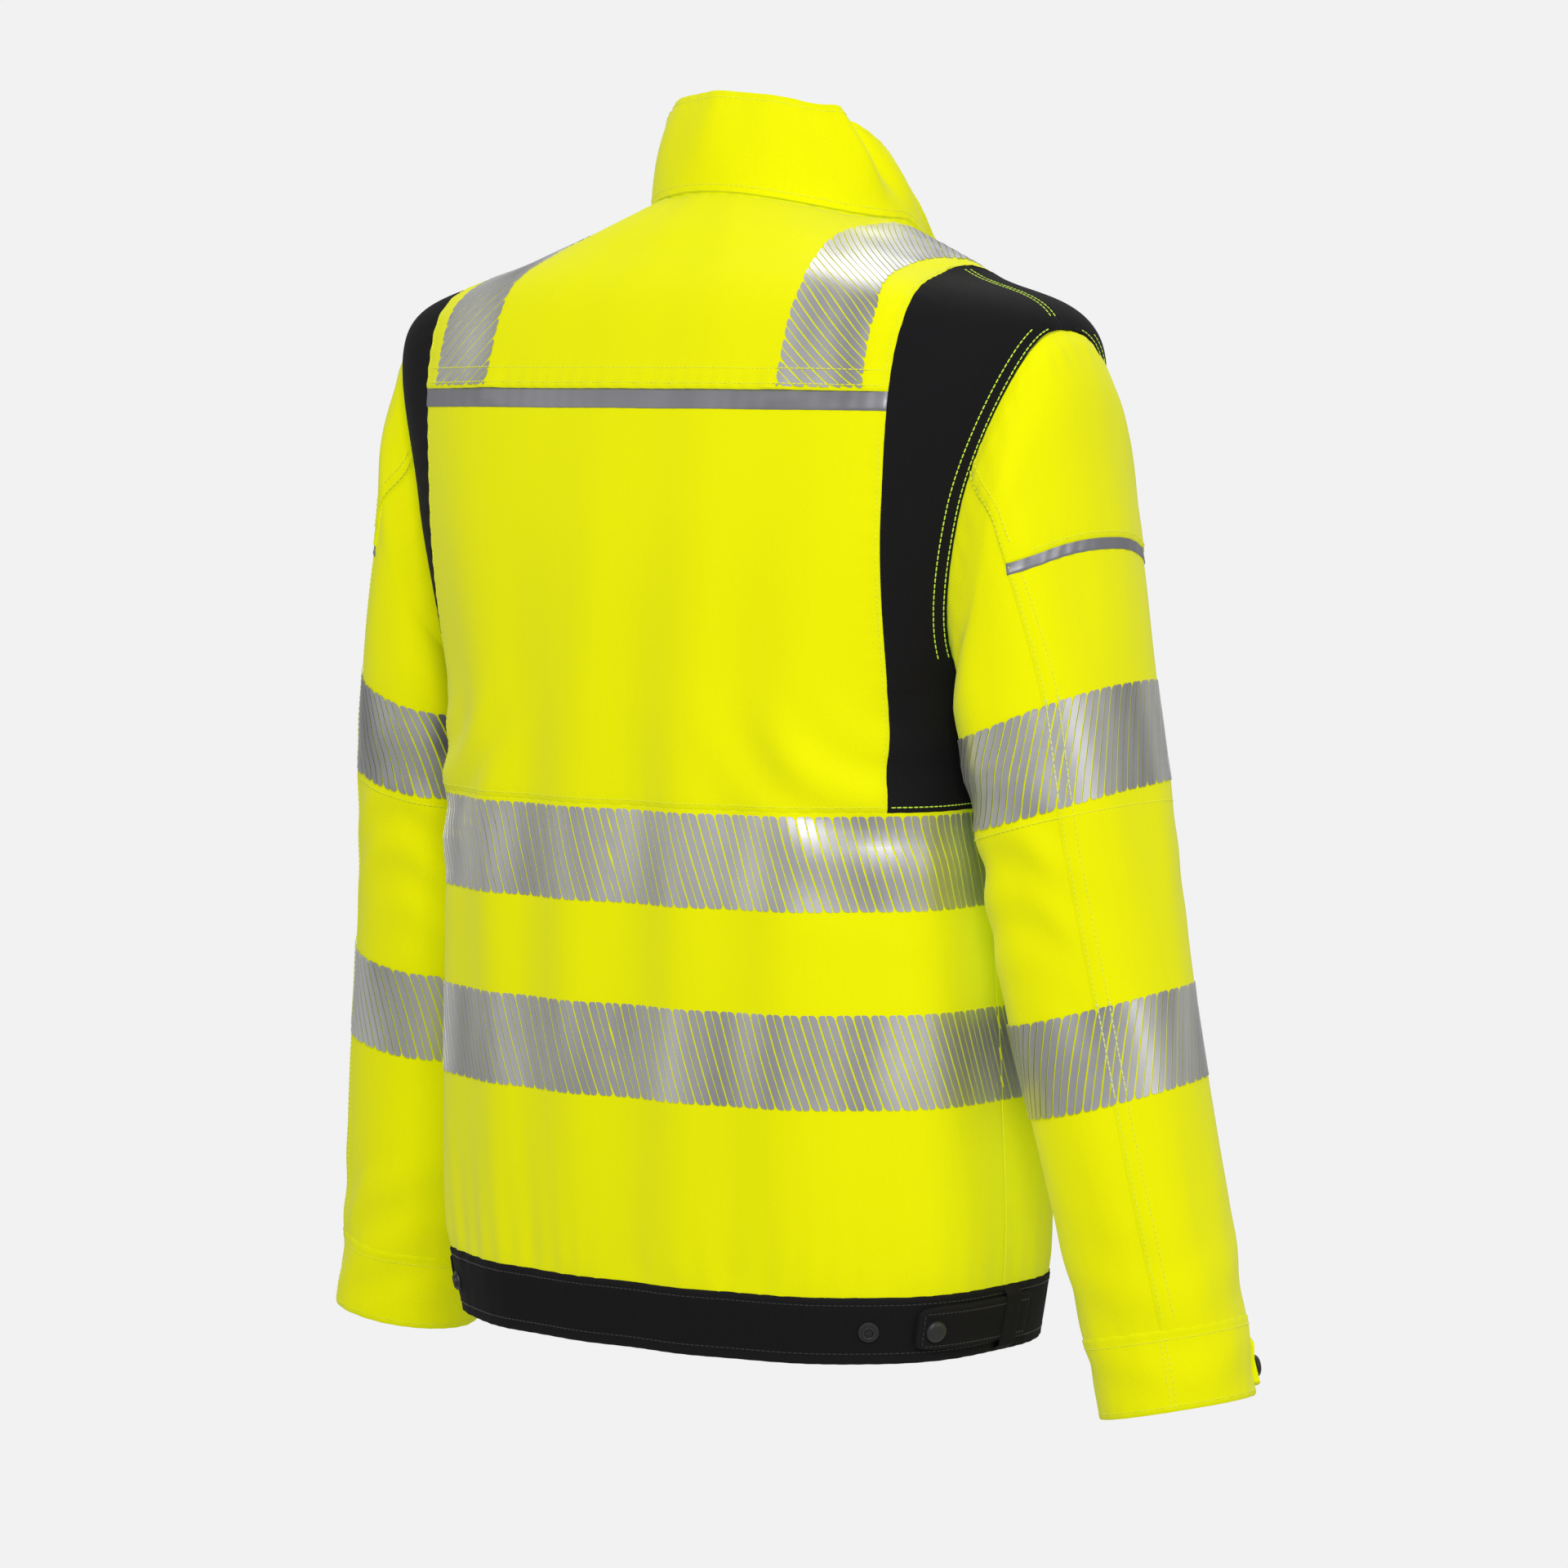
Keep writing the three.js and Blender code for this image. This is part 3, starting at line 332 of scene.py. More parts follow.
@dataclass
class Torso(Surface):
    """The jacket's body. a is an angle: 0 back, 90 the wearer's left, 180 front."""

    front: float = -114 * MM
    sections: tuple[Section, ...] = (
        Section(166, 109, 0, -604, -604, -604, 2.6),
        Section(175, 115, 0, -552, -552, -552, 2.6),
        Section(174, 117, 0, -470, -470, -470, 2.7),
        Section(169, 118, 0, -380, -380, -380, 2.8),
        Section(168, 118, 0, -300, -300, -300, 2.8),
        Section(170, 118, 0, -250, -250, -250, 2.7),
        Section(200, 115, 2, -155, -155, -165, 2.5),
        Section(216, 95, 8, -58, -62, -118, 2.4),
        Section(145, 66, -14, -16, -32, -98, 2.2),
        Section(74, 36, -37, 10, -4, -80, 2.0),
    )
    folds: BodyFolds = field(default_factory=BodyFolds)
    shoulder: int = 7
    seam_low: float = 151 * MM
    seam_high: float = 160 * MM
    seam_shoulder: float = 136 * MM
    yoke_edge: float = node_foot("back_yoke")
    yoke_rise: float = 0.0026
    yoke_sewn_rise: float = 0.0012
    yoke_pucker: float = 0.0018

    def __post_init__(self) -> None:
        """Works out the tables that levels are looked up in."""
        self.table = np.array([section.row() for section in self.sections])
        self.neck = len(self.sections) - 1
        self.fine = np.linspace(0, self.neck, 9001)
        self.fine_rows = spline(self.table, self.fine)
        self.arm = ArmholeShape(self.shoulder, float(self.level(ARMPIT_Z)))
        self.seam_top = float(self.crest(np.array(self.seam_shoulder)))

    def point(self, a: Array, t: Array) -> Array:
        """Point of the body at an angle and level."""
        half, back, side, z_back, z_side, z_front, power = np.moveaxis(spline(self.table, t), -1, 0)
        s, c = np.sin(np.radians(a)), np.cos(np.radians(a))
        end = np.where(c > 0, back - side, side - self.front)
        z_end = np.where(c > 0, z_back, z_front)
        x = half * signed_power(s, 2 / power)
        y = side + end * signed_power(c, 2 / power)
        return np.stack([x, y, z_side + (z_end - z_side) * c * c], axis=-1)

    def relief(self, p: Array, a: Array, t: Array) -> Array:
        """Height of the body's folds."""
        return self.folds.height(p)

    def level(self, z: Array) -> Array:
        """Level where the back is at height z."""
        return np.interp(z, self.fine_rows[:, 3], self.fine)

    def crest(self, x: Array) -> Array:
        """Level above the shoulder where the half width is x."""
        above = self.fine >= self.shoulder
        return np.interp(-x, -self.fine_rows[above, 0], self.fine[above])

    def angle_at(self, x: Array, t: Array) -> Array:
        """Angle on the back where the body is x from the middle."""
        rows = spline(self.table, t)
        share = np.clip(x / rows[..., 0], 0, 1)
        return np.degrees(np.arcsin(share ** (rows[..., 6] / 2)))

    def side_seam(self, t: Array) -> Array:
        """Angle of the seam between the yellow middle and the black side panel."""
        rise = np.clip((t - self.arm.bottom) / (self.shoulder - self.arm.bottom), 0, 1)
        over = np.clip((t - self.shoulder) / (self.seam_top - self.shoulder), 0, 1)
        x = self.seam_low + (self.seam_high - self.seam_low) * rise
        return self.angle_at(x + (self.seam_shoulder - self.seam_high) * over**2, t)

    def armhole_edge(self, t: Array) -> Array:
        """Angle of the armhole's back edge, or of the side line above and below it."""
        return 90 - self.arm.half(t)

    def black_edge(self, t: Array) -> Array:
        """Angle of the black panel's inner edge."""
        return np.minimum(self.side_seam(t), self.armhole_edge(t) - 1.5)

    def yoke_lift(self, a: Array, t: Array) -> Array:
        """How far the yoke stands off the body: free at its lower edge, sewn at its sides.

        Args:
            a: Angles round the body.
            t: Levels.

        Returns:
            The lift at each place, in metres.
        """
        height = np.interp(t, self.fine, self.fine_rows[:, 3]) - self.yoke_edge
        free = np.exp(-np.clip(height, 0, 1) / 0.016)
        x = self.point(a, t)[..., 0]
        pucker = swell(np.abs(x), 0.098, 0.010) - 0.5 * swell(np.abs(x), 0.135, 0.012)
        sewn = smooth(0.90, 0.985, np.abs(a) / self.side_seam(np.minimum(t, self.seam_top)))
        lift = self.yoke_sewn_rise + free * (self.yoke_rise - self.yoke_sewn_rise + self.yoke_pucker * pucker)
        return lift * (1 - sewn) + (0.0004 + 0.0010 * free) * sewn


@dataclass(frozen=True)
class SleeveSection:
    """One section across the sleeve, in millimetres: outer and inner points, middle, half depth."""

    out: tuple[float, float]
    inner: tuple[float, float]
    y: float
    deep: float
    power: float


@dataclass(frozen=True)
class SleeveFolds:
    """Soft folds of a sleeve, in metres."""

    seed: int = 5
    broad_height: float = 0.0016
    elbow_height: float = 0.0019
    cuff_height: float = 0.0016
    pit_height: float = 0.0085
    crown_height: float = 0.0006

    def height(self, p: Array, a: Array, s: Array, sign: int) -> Array:
        """Height of the folds at points of a sleeve."""
        noise = SmoothNoise(self.seed + (sign < 0))
        turn, z = np.radians(a), p[..., 2]
        round_u, round_v = 1.5 * np.cos(turn) + 20, 1.5 * np.sin(turn) + 20
        broad = noise(round_u + z / 0.11, round_v - z / 0.16)
        broad = broad + 0.5 * noise(round_v * 1.8 + 7, z / 0.06 + round_u)
        rise = self.broad_height * broad
        inside = 0.5 - 0.5 * np.cos(turn)
        bend = swell(z, -0.335, 0.055)
        rings = np.sin(2 * np.pi * (z + 0.012 * np.sin(turn * 2 + 1)) / 0.034 + 2.2 * noise(round_u, round_v))
        rise += self.elbow_height * bend * inside * rings
        low = smooth(-0.50, -0.58, z) * smooth(-0.628, -0.60, z)
        stack = np.sin(2 * np.pi * (z + 0.02 * np.cos(turn - 0.8)) / 0.042 + 2.5 * noise(round_v, round_u))
        rise += self.cuff_height * low * stack * (0.4 + 0.6 * noise(round_v * 2, z / 0.05) ** 2)
        slack = swell(np.mod(a, 360), 140, 42) * swell(z, -0.262, 0.040)
        rise += self.pit_height * slack
        crown = smooth(0.9, 0.2, s) * (0.5 + 0.5 * np.cos(turn))
        rise += self.crown_height * crown * np.sin(turn * 34)
        return rise * smooth(0.0, 0.55, s)


@dataclass
class Sleeve(Surface):
    """A sleeve. a: 0 outside, 90 back, 180 inside, 270 front. t runs from 0 at the armhole to the cuff."""

    torso: Torso
    sign: int
    sections: tuple[SleeveSection, ...] = (
        SleeveSection((227, -92), (176, -256), 1, 62, 2.2),
        SleeveSection((232, -135), (175, -261), 0, 63, 2.3),
        SleeveSection((238, -185), (175, -267), -1, 63, 2.4),
        SleeveSection((246, -243), (175, -275), -2, 62, 2.4),
        SleeveSection((256, -312), (176, -333), -5, 60, 2.4),
        SleeveSection((269, -390), (182, -410), -10, 54, 2.3),
        SleeveSection((287, -505), (204, -523), -19, 49, 2.2),
        SleeveSection((302, -585), (222, -601), -23, 43, 2.1),
        SleeveSection((307, -618), (230, -634), -24, 42, 2.1),
    )
    folds: SleeveFolds = field(default_factory=SleeveFolds)
    front_seam: float = 255.0
    patch_edge: float = -170 * MM
    patch_drop: float = 14 * MM

    def __post_init__(self) -> None:
        """Sets which way the surface faces and where its end is."""
        self.facing = float(self.sign)
        self.end = len(self.sections)
        self.fine = np.linspace(0, self.end, 1801)
        middle = (self.point(0 * self.fine, self.fine) + self.point(0 * self.fine + 180, self.fine)) / 2
        self.middle_z = middle[:, 2]
        self.middle_run = run_along(middle, 0)

    def _ring(self, section: SleeveSection, a: Array) -> Array:
        """Points of one section at the given angles."""
        along = signed_power(np.cos(np.radians(a)), 2 / section.power)
        across = signed_power(np.sin(np.radians(a)), 2 / section.power)
        (out_x, out_z), (in_x, in_z) = section.out, section.inner
        x = (out_x + in_x) / 2 + (out_x - in_x) / 2 * along
        z = (out_z + in_z) / 2 + (out_z - in_z) / 2 * along
        return np.stack([x, section.y + section.deep * across, z], axis=-1) * MM

    def _armhole(self, a: Array) -> Array:
        """Points of the armhole's edge at the given angles."""
        arm = self.torso.arm
        t = arm.middle + (arm.reach - 0.02) * np.cos(np.radians(a))
        spread = (arm.half_angle - 0.6) * np.sin(np.radians(a))
        return self.torso.point(90 - spread, t)

    def point(self, a: Array, t: Array) -> Array:
        """Point of the sleeve at an angle and a place along it."""
        a, t = np.broadcast_arrays(np.asarray(a, float), np.asarray(t, float))
        rings = np.stack([self._armhole(a)] + [self._ring(section, a) for section in self.sections])
        base = np.clip(np.floor(t).astype(int), 0, self.end - 1)

        def ring(shift: int) -> Array:
            """Points of the section that is shift after the base one."""
            pick = np.clip(base + shift, 0, self.end)
            return np.take_along_axis(rings, pick[None, ..., None], axis=0)[0]

        p = catmull_rom([ring(k) for k in (-1, 0, 1, 2)], (t - base)[..., None])
        return p * np.array([self.sign, 1, 1])

    def relief(self, p: Array, a: Array, t: Array) -> Array:
        """Height of the sleeve's folds."""
        return self.folds.height(p, a, t, self.sign)

    def at_height(self, z: float) -> float:
        """Place along the sleeve where its middle is at height z."""
        return float(np.interp(-z, -self.middle_z, self.fine))

    def back_seam(self, s: Array) -> Array:
        """Angle of the back seam."""
        return 56 + 34 * np.clip(1 - s / 4, 0, 1) - 13 * np.exp(-np.clip(s, 0, 9) / 0.55)

    def across(self, middle: float, width: float) -> tuple[float, float]:
        """Places along the sleeve where a band round a middle starts and ends.

        Args:
            middle: Place along the sleeve of the band's middle.
            width: The band's width, in metres.

        Returns:
            Where the band starts and where it ends.
        """
        run = np.interp(middle, self.fine, self.middle_run)
        ends = np.interp([run - width / 2, run + width / 2], self.middle_run, self.fine)
        return float(ends[0]), float(ends[1])

    def patch_end(self, a: Array, drop: float = 0.0) -> Array:
        """Place along the sleeve of the patch's lower edge, at each angle."""
        target = self.patch_edge - self.patch_drop * np.sin(np.radians(a)) ** 2 - drop
        low, high = np.full(np.shape(a), 0.2), np.full(np.shape(a), 5.0)
        for _ in range(30):
            middle = (low + high) / 2
            above = self.point(a, middle)[..., 2] > target
            low, high = np.where(above, middle, low), np.where(above, high, middle)
        return (low + high) / 2


@dataclass
class Collar(Surface):
    """The collar. a runs from -1 at the right front to 1 at the left front, t from foot to top."""

    torso: Torso
    step: float = 0.004
    foot_rise: float = 2 * MM
    top: tuple[tuple[float, float, float], ...] = (
        (0, 24, 66),
        (27, 18, 63.5),
        (48, 0, 58.0),
        (56, -22, 50),
        (60, -48, 31),
        (59, -78, 4),
        (53, -105, -19),
    )
    belly: float = 0.0035
    crease: float = 0.0095

    def __post_init__(self) -> None:
        """Makes the top line, carried on past its ends."""
        rows = np.array(self.top) * MM
        self.line = np.vstack([2 * rows[0] - rows[1], rows, 2 * rows[-1] - rows[-2]])

    def point(self, a: Array, t: Array) -> Array:
        """Point of the collar."""
        a, t = np.broadcast_arrays(np.asarray(a, float), np.asarray(t, float))
        size = np.abs(a)
        foot = self.torso.point(size * 172, np.full(a.shape, float(self.torso.neck)))
        foot = foot + np.array([0, 0, self.foot_rise])
        top = spline(self.line, 1 + np.minimum(size, 1.02) * (len(self.top) - 1))
        p = foot + (top - foot) * t[..., None]
        return p * np.stack([np.where(a < 0, -1, 1), np.ones(a.shape), np.ones(a.shape)], axis=-1)

    def relief(self, p: Array, a: Array, t: Array) -> Array:
        """Roundness of the collar and the crease where it turns to the front."""
        size = np.abs(a)
        rounded = self.belly * 4 * t * (1 - t) * (1 - 0.5 * smooth(0.5, 1, size))
        turn = 0.50 - 0.10 * t + 0.015 * np.sign(a)
        fold = swell(size, turn, 0.045) - 0.75 * swell(size - turn, 0.075, 0.04)
        wave = 0.0007 * np.sin(size * 31 + 1.2) * smooth(0, 0.5, t)
        return rounded + self.crease * fold * smooth(0.05, 0.55, t) * 0.6 + wave


# ---------------------------------------------------------------- shader building


@dataclass(frozen=True)
class Value:
    """A shader socket that Python arithmetic works on."""

    shader: "Shader"
    socket: bpy.types.NodeSocket

    def _math(self, operation: str, first: object, second: object = 0.0) -> "Value":
        """A Math node's result."""
        return self.shader.node("ShaderNodeMath", {"operation": operation}, {0: first, 1: second})

    def __add__(self, other: object) -> "Value":
        """Sum."""
        return self._math("ADD", self, other)

    def __sub__(self, other: object) -> "Value":
        """Difference."""
        return self._math("SUBTRACT", self, other)

    def __rsub__(self, other: object) -> "Value":
        """Difference from a number."""
        return self._math("SUBTRACT", other, self)

    def __mul__(self, other: object) -> "Value":
        """Product."""
        return self._math("MULTIPLY", self, other)

    __radd__ = __add__
    __rmul__ = __mul__

    def sine(self) -> "Value":
        """Sine, in radians."""
        return self._math("SINE", self)

    def absolute(self) -> "Value":
        """Size without sign."""
        return self._math("ABSOLUTE", self)

    def power(self, exponent: float) -> "Value":
        """Power of the value."""
        return self._math("POWER", self, exponent)


class Shader:
    """Builds one material's nodes."""

    def __init__(self, name: str) -> None:
        """Makes an empty material with its shader and output."""
        self.material = bpy.data.materials.new(name)
        self.material.use_nodes = True
        self.tree = self.material.node_tree
        self.surface = self.tree.nodes["Principled BSDF"]

    def node(
        self, kind: str, settings: dict | None = None, inputs: dict | None = None, output: object = 0
    ) -> Value:
        """Adds a node.

        Args:
            kind: The node's type.
            settings: Properties that are set before anything else.
            inputs: Numbers, colours or Values for sockets, by name or place.
            output: Name or place of the socket that comes back.

        Returns:
            The node's output.
        """
        made = self.tree.nodes.new(kind)
        for key, setting in (settings or {}).items():
            setattr(made, key, setting)
        for key, value in (inputs or {}).items():
            self._feed(made.inputs[key], value)
        return Value(self, made.outputs[output])

    def _feed(self, socket: bpy.types.NodeSocket, value: object) -> None:
        """Links a Value to a socket, or sets a number or colour on it."""
        if isinstance(value, Value):
            self.tree.links.new(value.socket, socket)
        else:
            socket.default_value = value

    def blend(self, factor: object, low: object, high: object) -> Value:
        """Mix of two colours."""
        sockets = {0: factor, 6: low, 7: high}
        return self.node("ShaderNodeMix", {"data_type": "RGBA"}, sockets, 2)

    def noise(self, vector: object, scale: float, detail: float = 3.0, rough: float = 0.55) -> Value:
        """Noise from 0 to 1."""
        sockets = {"Vector": vector, "Scale": scale, "Detail": detail, "Roughness": rough}
        return self.node("ShaderNodeTexNoise", None, sockets, 0)

    def placed(self, vector: object, scale: tuple[float, float, float]) -> Value:
        """A vector scaled along its axes."""
        return self.node("ShaderNodeMapping", None, {"Vector": vector, "Scale": scale})

    def object_place(self) -> Value:
        """Place on the piece, in metres."""
        return self.node("ShaderNodeTexCoord", None, None, "Object")

    def bump(self, height: object, strength: float, distance: float) -> Value:
        """Normal of a height."""
        sockets = {"Strength": strength, "Distance": distance, "Height": height}
        return self.node("ShaderNodeBump", None, sockets)

    def finish(self, inputs: dict) -> bpy.types.Material:
        """Feeds the surface shader and returns the material."""
        for key, value in inputs.items():
            self._feed(self.surface.inputs[key], value)
        return self.material


Colour = tuple[float, float, float, float]


@dataclass(frozen=True)
class ClothFinish:
    """Dyed twill: diagonal weave, warp streaks, soft clouding, edges tinted by wear and by painted seam
    shade, and a painted glow (emission) that keeps the shaded yellow bright and turns it greener.
    """

    name: str
    low: Colour
    high: Colour
    # Colour near the panel's edges: on the black it is lighter wear, on the yellow it is darker painted shade
    # along the seams.
    edge: Colour
    slot: str
    # Painted glow: emission that paints light into the cloth so that its shade stays bright and greener; the
    # cloth is no lamp.
    painted_glow: Colour = (0.0, 0.0, 0.0, 1.0)
    painted_glow_strength: float = 0.0
    rough: float = 0.78
    sheen: float = 0.12
    sheen_tint: Colour = (1.0, 1.0, 1.0, 1.0)
    specular: float = 0.22
    twill: float = 1.05 * MM
    weave_depth: float = 0.16

    def build(self) -> bpy.types.Material:
        """Makes the material."""
        shader = Shader(self.name)
        weave = shader.node("ShaderNodeUVMap", {"uv_map": WEAVE_MAP})
        sockets = {"Vector": weave}
        u = shader.node("ShaderNodeSeparateXYZ", None, sockets, 0)
        v = Value(shader, u.socket.node.outputs[1])
        ribs = ((u + v * 0.82) * (2 * math.pi / self.twill)).sine() * 0.5 + 0.5
        yarn = (v * (2 * math.pi / (self.twill * 0.62))).sine() * 0.5 + 0.5
        streak = shader.noise(shader.placed(weave, (900, 26, 1)), 1.0, 2.0)
        slub = shader.noise(shader.placed(weave, (60, 420, 1)), 1.0, 1.0)
        cloud = shader.noise(shader.object_place(), 7.0, 4.0)
        tone = cloud * 0.42 + streak * 0.34 + slub * 0.12 + ribs * 0.12
        base = shader.blend(tone, self.low, self.high)
        # Towards the edges the colour moves to the edge colour: partly wear, partly painted shade in the
        # seams' puckers.
        edge = shader.node("ShaderNodeAttribute", {"attribute_name": EDGE_FIELD}, None, "Fac")
        worn = (1 - edge).power(2.0) * (0.25 + cloud * 0.45)
        colour = shader.blend(worn, base, self.edge)
        height = ribs * (0.65 + yarn * 0.35) + streak * 0.55
        return shader.finish(
            {
                "Base Color": colour,
                "Roughness": cloud * 0.12 + (self.rough - 0.06),
                "Normal": shader.bump(height, self.weave_depth, 0.00025),
                "Specular IOR Level": self.specular,
                "Sheen Weight": self.sheen,
                "Sheen Roughness": 0.45,
                "Sheen Tint": self.sheen_tint,
                # Painted light: a weak emission keeps the shaded yellow bright and greener.
                "Emission Color": self.painted_glow,
                "Emission Strength": self.painted_glow_strength,
            }
        )


@dataclass(frozen=True)
class FilmFinish:
    """Glass-bead reflective film: a grey metal look with fine grain, rubbed patches, and broad painted
    reflection bands of light and dark that run up and down.
    """

    name: str
    low: Colour
    high: Colour
    slot: str
    metal: float = 0.80
    rough: float = 0.38
    # Scale of the painted reflection bands: stretched so that they run up and down, like the streaks that
    # folds reflect.
    bands: tuple[float, float, float] = (26, 26, 5)

    def build(self) -> bpy.types.Material:
        """Makes the material."""
        shader = Shader(self.name)
        place = shader.object_place()
        grain = shader.noise(place, 2600.0, 2.0)
        rubbed = shader.noise(place, 26.0, 4.0, 0.62)
        # Painted reflection: broad light and dark bands in the base colour stand in for the light that the
        # folds reflect.
        painted_reflection_band = shader.noise(shader.placed(place, self.bands), 1.0, 1.0)
        painted_reflection_contrast = (painted_reflection_band - 0.5) * 2.1 + 0.5
        colour = shader.blend(painted_reflection_contrast * 0.66 + rubbed * 0.18 + grain * 0.16, self.low, self.high)
        return shader.finish(
            {
                "Base Color": colour,
                "Metallic": self.metal,
                "Roughness": rubbed * 0.16 + grain * 0.08 + (self.rough - 0.10),
                "Normal": shader.bump(grain, 0.10, 0.00008),
                "Specular IOR Level": 0.5,
            }
        )


@dataclass(frozen=True)
class HardFinish:
    """Moulded plastic or plated metal, with a fine grain, soft clouding and rubbed high spots."""

    name: str
    low: Colour
    high: Colour
    slot: str
    metal: float = 0.0
    rough: float = 0.42
    grain: float = 900.0
    depth: float = 0.08

    def build(self) -> bpy.types.Material:
        """Makes the material."""
        shader = Shader(self.name)
        place = shader.object_place()
        grain = shader.noise(place, self.grain, 3.0)
        cloud = shader.noise(place, 60.0, 3.0)
        scratch = shader.noise(shader.placed(place, (1600, 1600, 90)), 1.0, 2.0)
        worn = shader.node("ShaderNodeNewGeometry", None, None, "Pointiness")
        lit = (worn - 0.5).absolute() * 4.0 + cloud * 0.5 + scratch * 0.2
        return shader.finish(
            {
                "Base Color": shader.blend(lit, self.low, self.high),
                "Metallic": self.metal,
                "Roughness": cloud * 0.14 + scratch * 0.08 + (self.rough - 0.1),
                "Normal": shader.bump(grain * 0.7 + scratch * 0.3, self.depth, 0.0001),
                "Specular IOR Level": 0.45,
            }
        )


@dataclass(frozen=True)
class ThreadFinish:
    """Spun polyester thread: two plies that wind round it, with a painted glow (emission) where the finish
    gives one.
    """

    name: str
    low: Colour
    high: Colour
    slot: str
    # Painted glow: emission that keeps the thread bright in shade.
    painted_glow: Colour = (0.0, 0.0, 0.0, 1.0)
    painted_glow_strength: float = 0.0

    def build(self) -> bpy.types.Material:
        """Makes the material."""
        shader = Shader(self.name)
        place = shader.object_place()
        ply = shader.noise(shader.placed(place, (3000, 3000, 3000)), 1.0, 2.0)
        cloud = shader.noise(place, 40.0, 2.0)
        return shader.finish(
            {
                "Base Color": shader.blend(ply * 0.7 + cloud * 0.3, self.low, self.high),
                "Roughness": cloud * 0.2 + 0.45,
                "Normal": shader.bump(ply, 0.3, 0.0001),
                "Sheen Weight": 0.2,
                "Emission Color": self.painted_glow,
                "Emission Strength": self.painted_glow_strength,
            }
        )


YELLOW = ClothFinish(
    "yellow_twill",
    low=(0.82, 0.78, 0.0004, 1),
    high=(0.91, 0.86, 0.0010, 1),
    # Darker edge colour: painted shade along the seams, with some wear.
    edge=(0.76, 0.75, 0.0008, 1),
    slot="yellow_cloth",
    # Painted glow: emission that lifts the yellow and turns it greener where it lies in shade.
    painted_glow=(0.45, 1.0, 0.0, 1),
    painted_glow_strength=0.095,
    sheen=0.15,
    specular=0.03,
)
BLACK = ClothFinish(
    "black_twill",
    low=(0.0060, 0.0056, 0.0062, 1),
    high=(0.0115, 0.0108, 0.0120, 1),
    edge=(0.016, 0.015, 0.017, 1),
    slot="black_cloth",
    rough=0.80,
    sheen=0.015,
    sheen_tint=(0.9, 0.9, 1.0, 1),
    specular=0.10,
    weave_depth=0.35,
)
LABEL = ClothFinish(
    "label_satin",
    low=(0.60, 0.60, 0.60, 1),
    high=(0.74, 0.74, 0.74, 1),
    edge=(0.5, 0.5, 0.5, 1),
    slot="label_cloth",
    rough=0.5,
    twill=0.6 * MM,
)
CORD = ClothFinish(
    "black_webbing",
    low=(0.010, 0.0095, 0.010, 1),
    high=(0.020, 0.019, 0.021, 1),
    edge=(0.022, 0.021, 0.023, 1),
    slot="black_cloth",
)
PIPING = FilmFinish("reflective_piping", (0.26, 0.26, 0.285, 1), (0.36, 0.36, 0.39, 1), "reflective_tape")
# The wide spread from low to high mostly carries the painted reflection bands.
SILVER = FilmFinish("reflective_film", (0.27, 0.27, 0.285, 1), (0.86, 0.86, 0.87, 1), "reflective_tape")
CAP = HardFinish("snap_acetal", (0.010, 0.010, 0.011, 1), (0.030, 0.030, 0.032, 1), "snap_plastic")
TOOTH = HardFinish("zip_resin", (0.012, 0.012, 0.013, 1), (0.034, 0.034, 0.036, 1), "zip_plastic", rough=0.36)
NICKEL = HardFinish(
    "dark_nickel", (0.22, 0.22, 0.23, 1), (0.46, 0.46, 0.48, 1), "zip_metal", metal=1.0, rough=0.34
)
# The yellow and contrast threads carry a painted glow (emission) that lifts them in shade.
THREAD_YELLOW = ThreadFinish(
    "yellow_thread", (0.74, 0.74, 0.002, 1), (0.88, 0.86, 0.006, 1), "yellow_cloth", (0.45, 1.0, 0.0, 1), 0.06
)
THREAD_BRIGHT = ThreadFinish(
    "contrast_thread", (0.52, 0.80, 0.02, 1), (0.72, 0.95, 0.08, 1), "yellow_cloth", (0.5, 1.0, 0.05, 1), 0.10
)
THREAD_PALE = ThreadFinish("pale_thread", (0.62, 0.70, 0.30, 1), (0.80, 0.84, 0.45, 1), "yellow_cloth")
THREAD_BLACK = ThreadFinish("black_thread", (0.006, 0.006, 0.007, 1), (0.016, 0.016, 0.018, 1), "black_cloth")


class FinishRack:
    """Keeps one material for each finish."""

    def __init__(self) -> None:
        """Starts with nothing made."""
        self.made: dict[str, bpy.types.Material] = {}

    def dress(self, piece: bpy.types.Object, finish: object) -> bpy.types.Object:
        """Gives a piece its finish."""
        if finish.name not in self.made:
            self.made[finish.name] = finish.build()
        piece.data.materials.clear()
        piece.data.materials.append(self.made[finish.name])
        return piece


RACK = FinishRack()


# ---------------------------------------------------------------- how a piece moves


@dataclass(frozen=True)
class Ride:
    """A piece that moves with one body."""

    body: str = BODY

    def attach(self, piece: bpy.types.Object) -> None:
        """Fixes the piece to its body."""
        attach(piece, self.body)


@dataclass(frozen=True)
class ArmBlend:
    """A piece that lies across the armhole, between the jacket's body and a sleeve."""

    side: str
    start: float = 2 * MM
    end: float = 62 * MM

    def attach(self, piece: bpy.types.Object) -> None:
        """Bakes the piece's place into its mesh; it is not fixed to a body."""
        sign = SIDES[self.side]
        armpit, out = np.array([ARMPIT_X * sign, 0, ARMPIT_Z]), np.array([ARM_OUT * sign, 0, ARM_DOWN])
        start, end = armpit + out * self.start, armpit + out * self.end
        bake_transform(piece)


def settle(piece: bpy.types.Object, finish: object, hold: object, nodes: tuple[str, ...]) -> None:
    """Dresses a piece, fixes it to its body and hides the CAD nodes that it stands for."""
    RACK.dress(piece, finish)
    hold.attach(piece)
    if nodes:
        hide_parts(*nodes)
    LOG.info("%s: %d faces", piece.name, len(piece.data.polygons))


